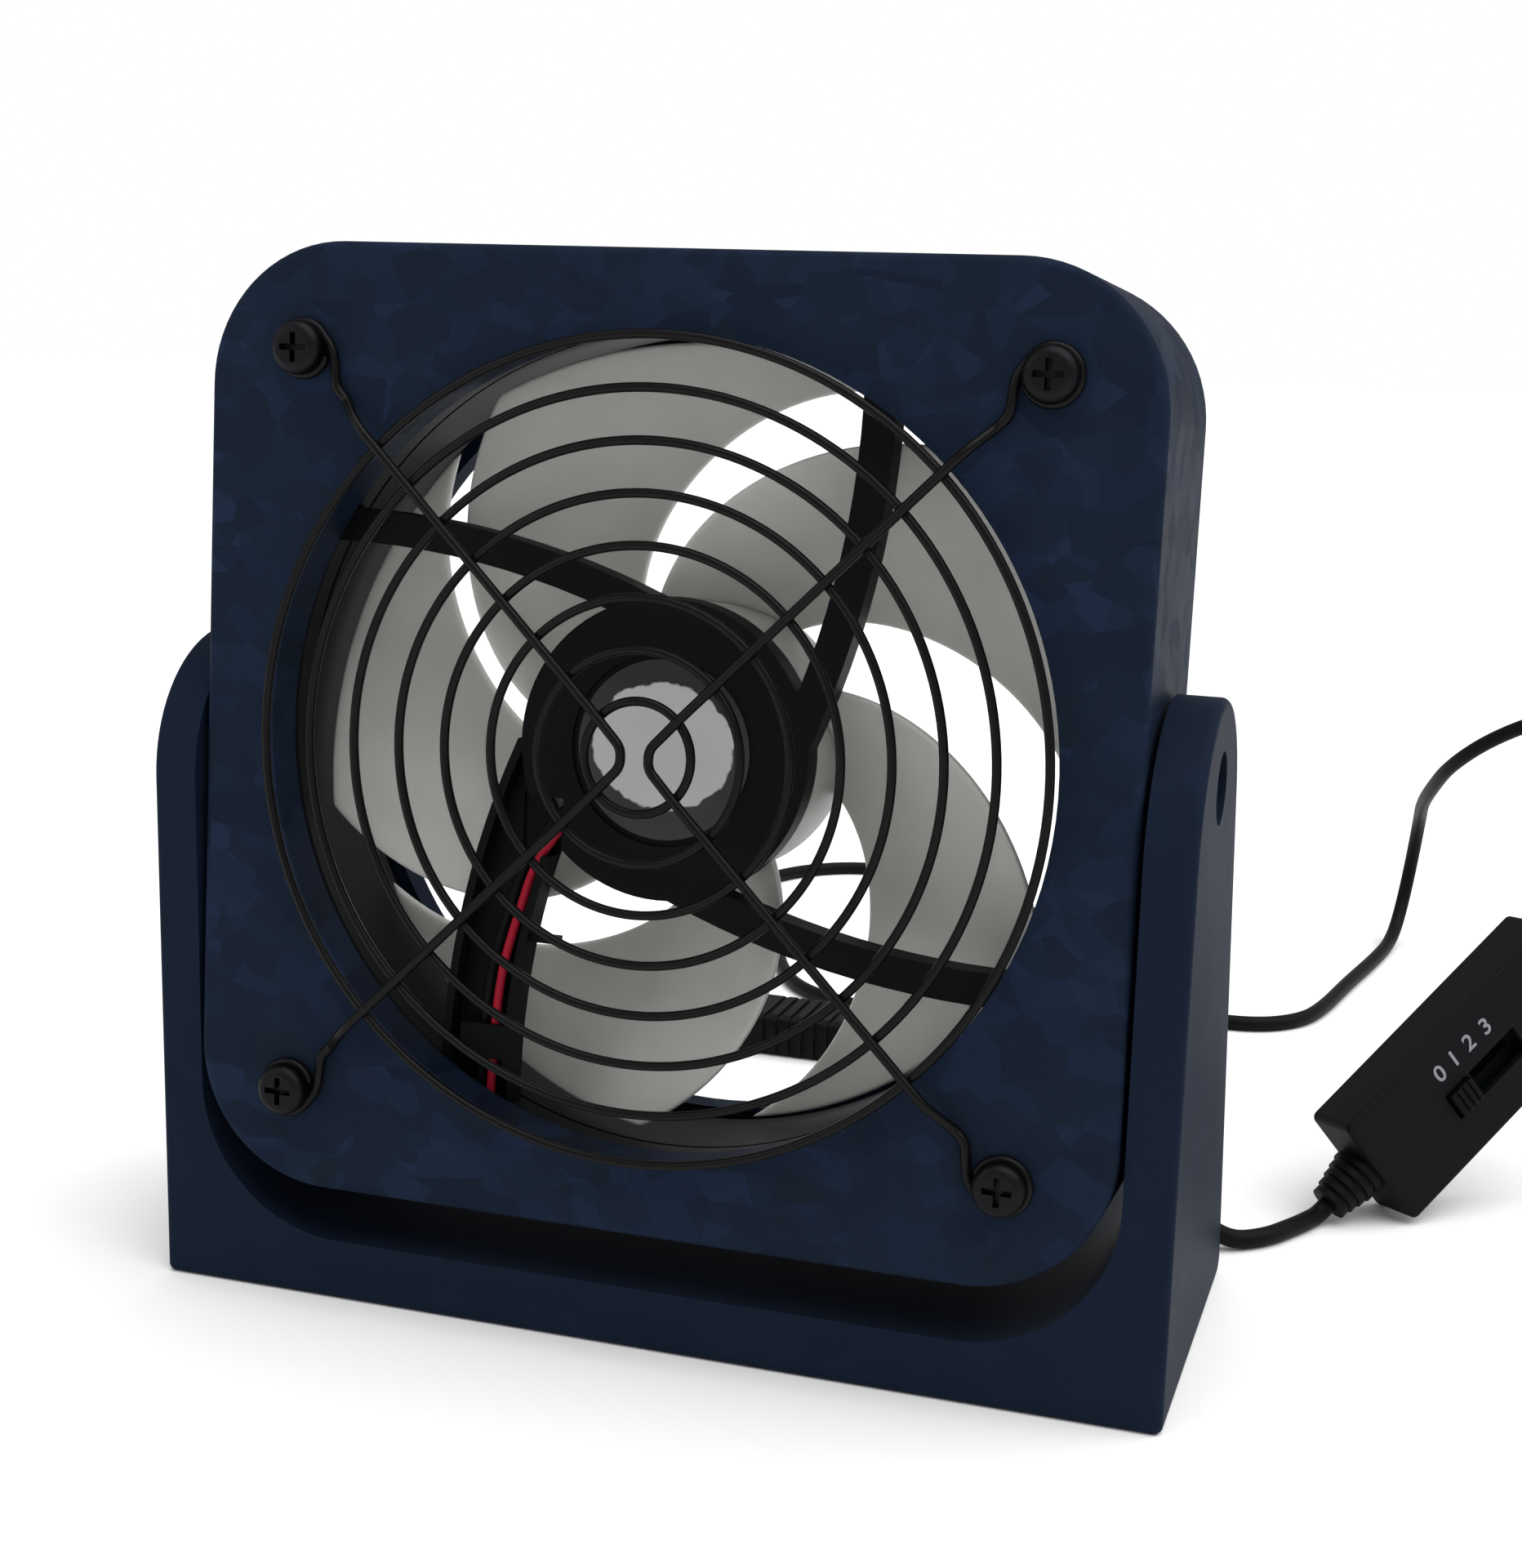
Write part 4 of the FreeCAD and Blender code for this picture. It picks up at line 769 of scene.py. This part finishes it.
class FAN_OT_stage(bpy.types.Operator):
    """Sets the pale floor, the soft lights and the camera"""
    bl_idname = "fan.stage"
    bl_label = "Stage"

    camera_place = (0.1108, -0.3228, 0.1480)
    azimuth, elevation, roll = 17.73, 11.88, 1.46
    lens = 54.56
    sensor = 36.0
    wash = 2.6
    wash_heading = (-0.35, 0.1, -1.0)
    # name, place, width and power of each soft panel, and what they all face
    panels = (("right_panel", (1.2, 0.45, 0.6), 0.9, 1.8),
              ("left_panel", (-0.62, -0.55, 0.5), 0.45, 1.1))
    panel_aim = (0.02, 0.0, 0.07)
    fill = 0.5
    floor_r = 4000.0

    def execute(self, context):
        self.floor()
        self.lights()
        self.world()
        self.camera(context)
        context.scene.view_settings.view_transform = "Standard"
        return {"FINISHED"}

    def floor(self):
        """Wide flat disc of pale paper."""
        pale, tree, shader = new_material("pale_seamless_paper", linear("#fafafa"), 0.9, specular=0.1)
        noise_bump(tree, shader, object_place(tree), 2.0, 0.02)
        turn = np.linspace(0, 2 * math.pi, 96, endpoint=False)
        rim = np.stack([self.floor_r * np.cos(turn), self.floor_r * np.sin(turn), np.zeros(len(turn))],
                       axis=-1)
        floor = new_piece("floor", [(rim, [np.arange(len(turn))])], pale)

    def lights(self):
        """An even wash over the whole floor, and two soft panels for the sheen on the sides."""
        wash = bpy.data.lights.new("wash", "SUN")
        wash.energy = self.wash
        wash.angle = math.radians(70)
        placed = bpy.data.objects.new("wash", wash)
        placed.rotation_euler = Vector(self.wash_heading).to_track_quat("-Z", "Y").to_euler()
        bpy.context.scene.collection.objects.link(placed)
        for name, place, size, power in self.panels:
            lamp = bpy.data.lights.new(name, "AREA")
            lamp.shape = "SQUARE"
            lamp.size = size
            lamp.energy = power
            placed = bpy.data.objects.new(name, lamp)
            placed.location = place
            aim = Vector(self.panel_aim) - Vector(place)
            placed.rotation_euler = aim.to_track_quat("-Z", "Y").to_euler()
            bpy.context.scene.collection.objects.link(placed)

    def world(self):
        """White to the camera, and a dimmer soft fill for the light it gives."""
        world = bpy.data.worlds.new("studio")
        world.use_nodes = True
        tree = world.node_tree
        tree.nodes.clear()
        fill = add(tree, "ShaderNodeBackground", {"Color": (1, 1, 1, 1), "Strength": self.fill})
        seen = add(tree, "ShaderNodeBackground", {"Color": (1, 1, 1, 1), "Strength": 1.0})
        path = add(tree, "ShaderNodeLightPath")
        mixed = add(tree, "ShaderNodeMixShader",
                    {0: path.outputs["Is Camera Ray"], 1: fill.outputs[0], 2: seen.outputs[0]})
        add(tree, "ShaderNodeOutputWorld", {"Surface": mixed.outputs[0]})
        bpy.context.scene.world = world

    def camera(self, context):
        """Camera turned by azimuth, elevation and roll, in degrees, from looking along y."""
        lens = bpy.data.cameras.new("camera")
        lens.lens = self.lens
        lens.sensor_width = self.sensor
        lens.clip_start, lens.clip_end = 0.01, 20.0
        camera = bpy.data.objects.new("camera", lens)
        camera.matrix_world = (
            Matrix.Translation(self.camera_place)
            @ Matrix.Rotation(math.radians(self.azimuth), 4, "Z")
            @ Matrix.Rotation(math.radians(90 - self.elevation), 4, "X")
            @ Matrix.Rotation(math.radians(self.roll), 4, "Z")
        )
        context.scene.collection.objects.link(camera)
        context.scene.camera = camera


OPERATORS = (FAN_OT_case, FAN_OT_guard, FAN_OT_screws, FAN_OT_impeller, FAN_OT_motor, FAN_OT_label,
             FAN_OT_leads, FAN_OT_controller, FAN_OT_plug, FAN_OT_stage)


class FAN_PT_panel(bpy.types.Panel):
    """Lists the fan's operators in the sidebar"""
    bl_idname = "FAN_PT_panel"
    bl_label = "Desk Fan"
    bl_space_type = "VIEW_3D"
    bl_region_type = "UI"
    bl_category = "Desk Fan"

    def draw(self, context):
        for group in (context.scene.fan_sizes, context.scene.fan_colours):
            for name in group.__annotations__:
                self.layout.prop(group, name)
        for operator in OPERATORS:
            self.layout.operator(operator.bl_idname)


CLASSES = (FanSizes, FanColours, *OPERATORS, FAN_PT_panel)


def register():
    for cls in CLASSES:
        bpy.utils.register_class(cls)
    bpy.types.Scene.fan_sizes = bpy.props.PointerProperty(type=FanSizes)
    bpy.types.Scene.fan_colours = bpy.props.PointerProperty(type=FanColours)


def unregister():
    del bpy.types.Scene.fan_colours
    del bpy.types.Scene.fan_sizes
    for cls in reversed(CLASSES):
        bpy.utils.unregister_class(cls)


def main():
    """Registers the add-on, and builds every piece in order."""
    register()
    for operator in OPERATORS:
        group, name = operator.bl_idname.split(".")
        if getattr(getattr(bpy.ops, group), name)() != {"FINISHED"}:
            raise RuntimeError(operator.bl_idname + " did not finish")


if __name__ == "__main__":
    main()
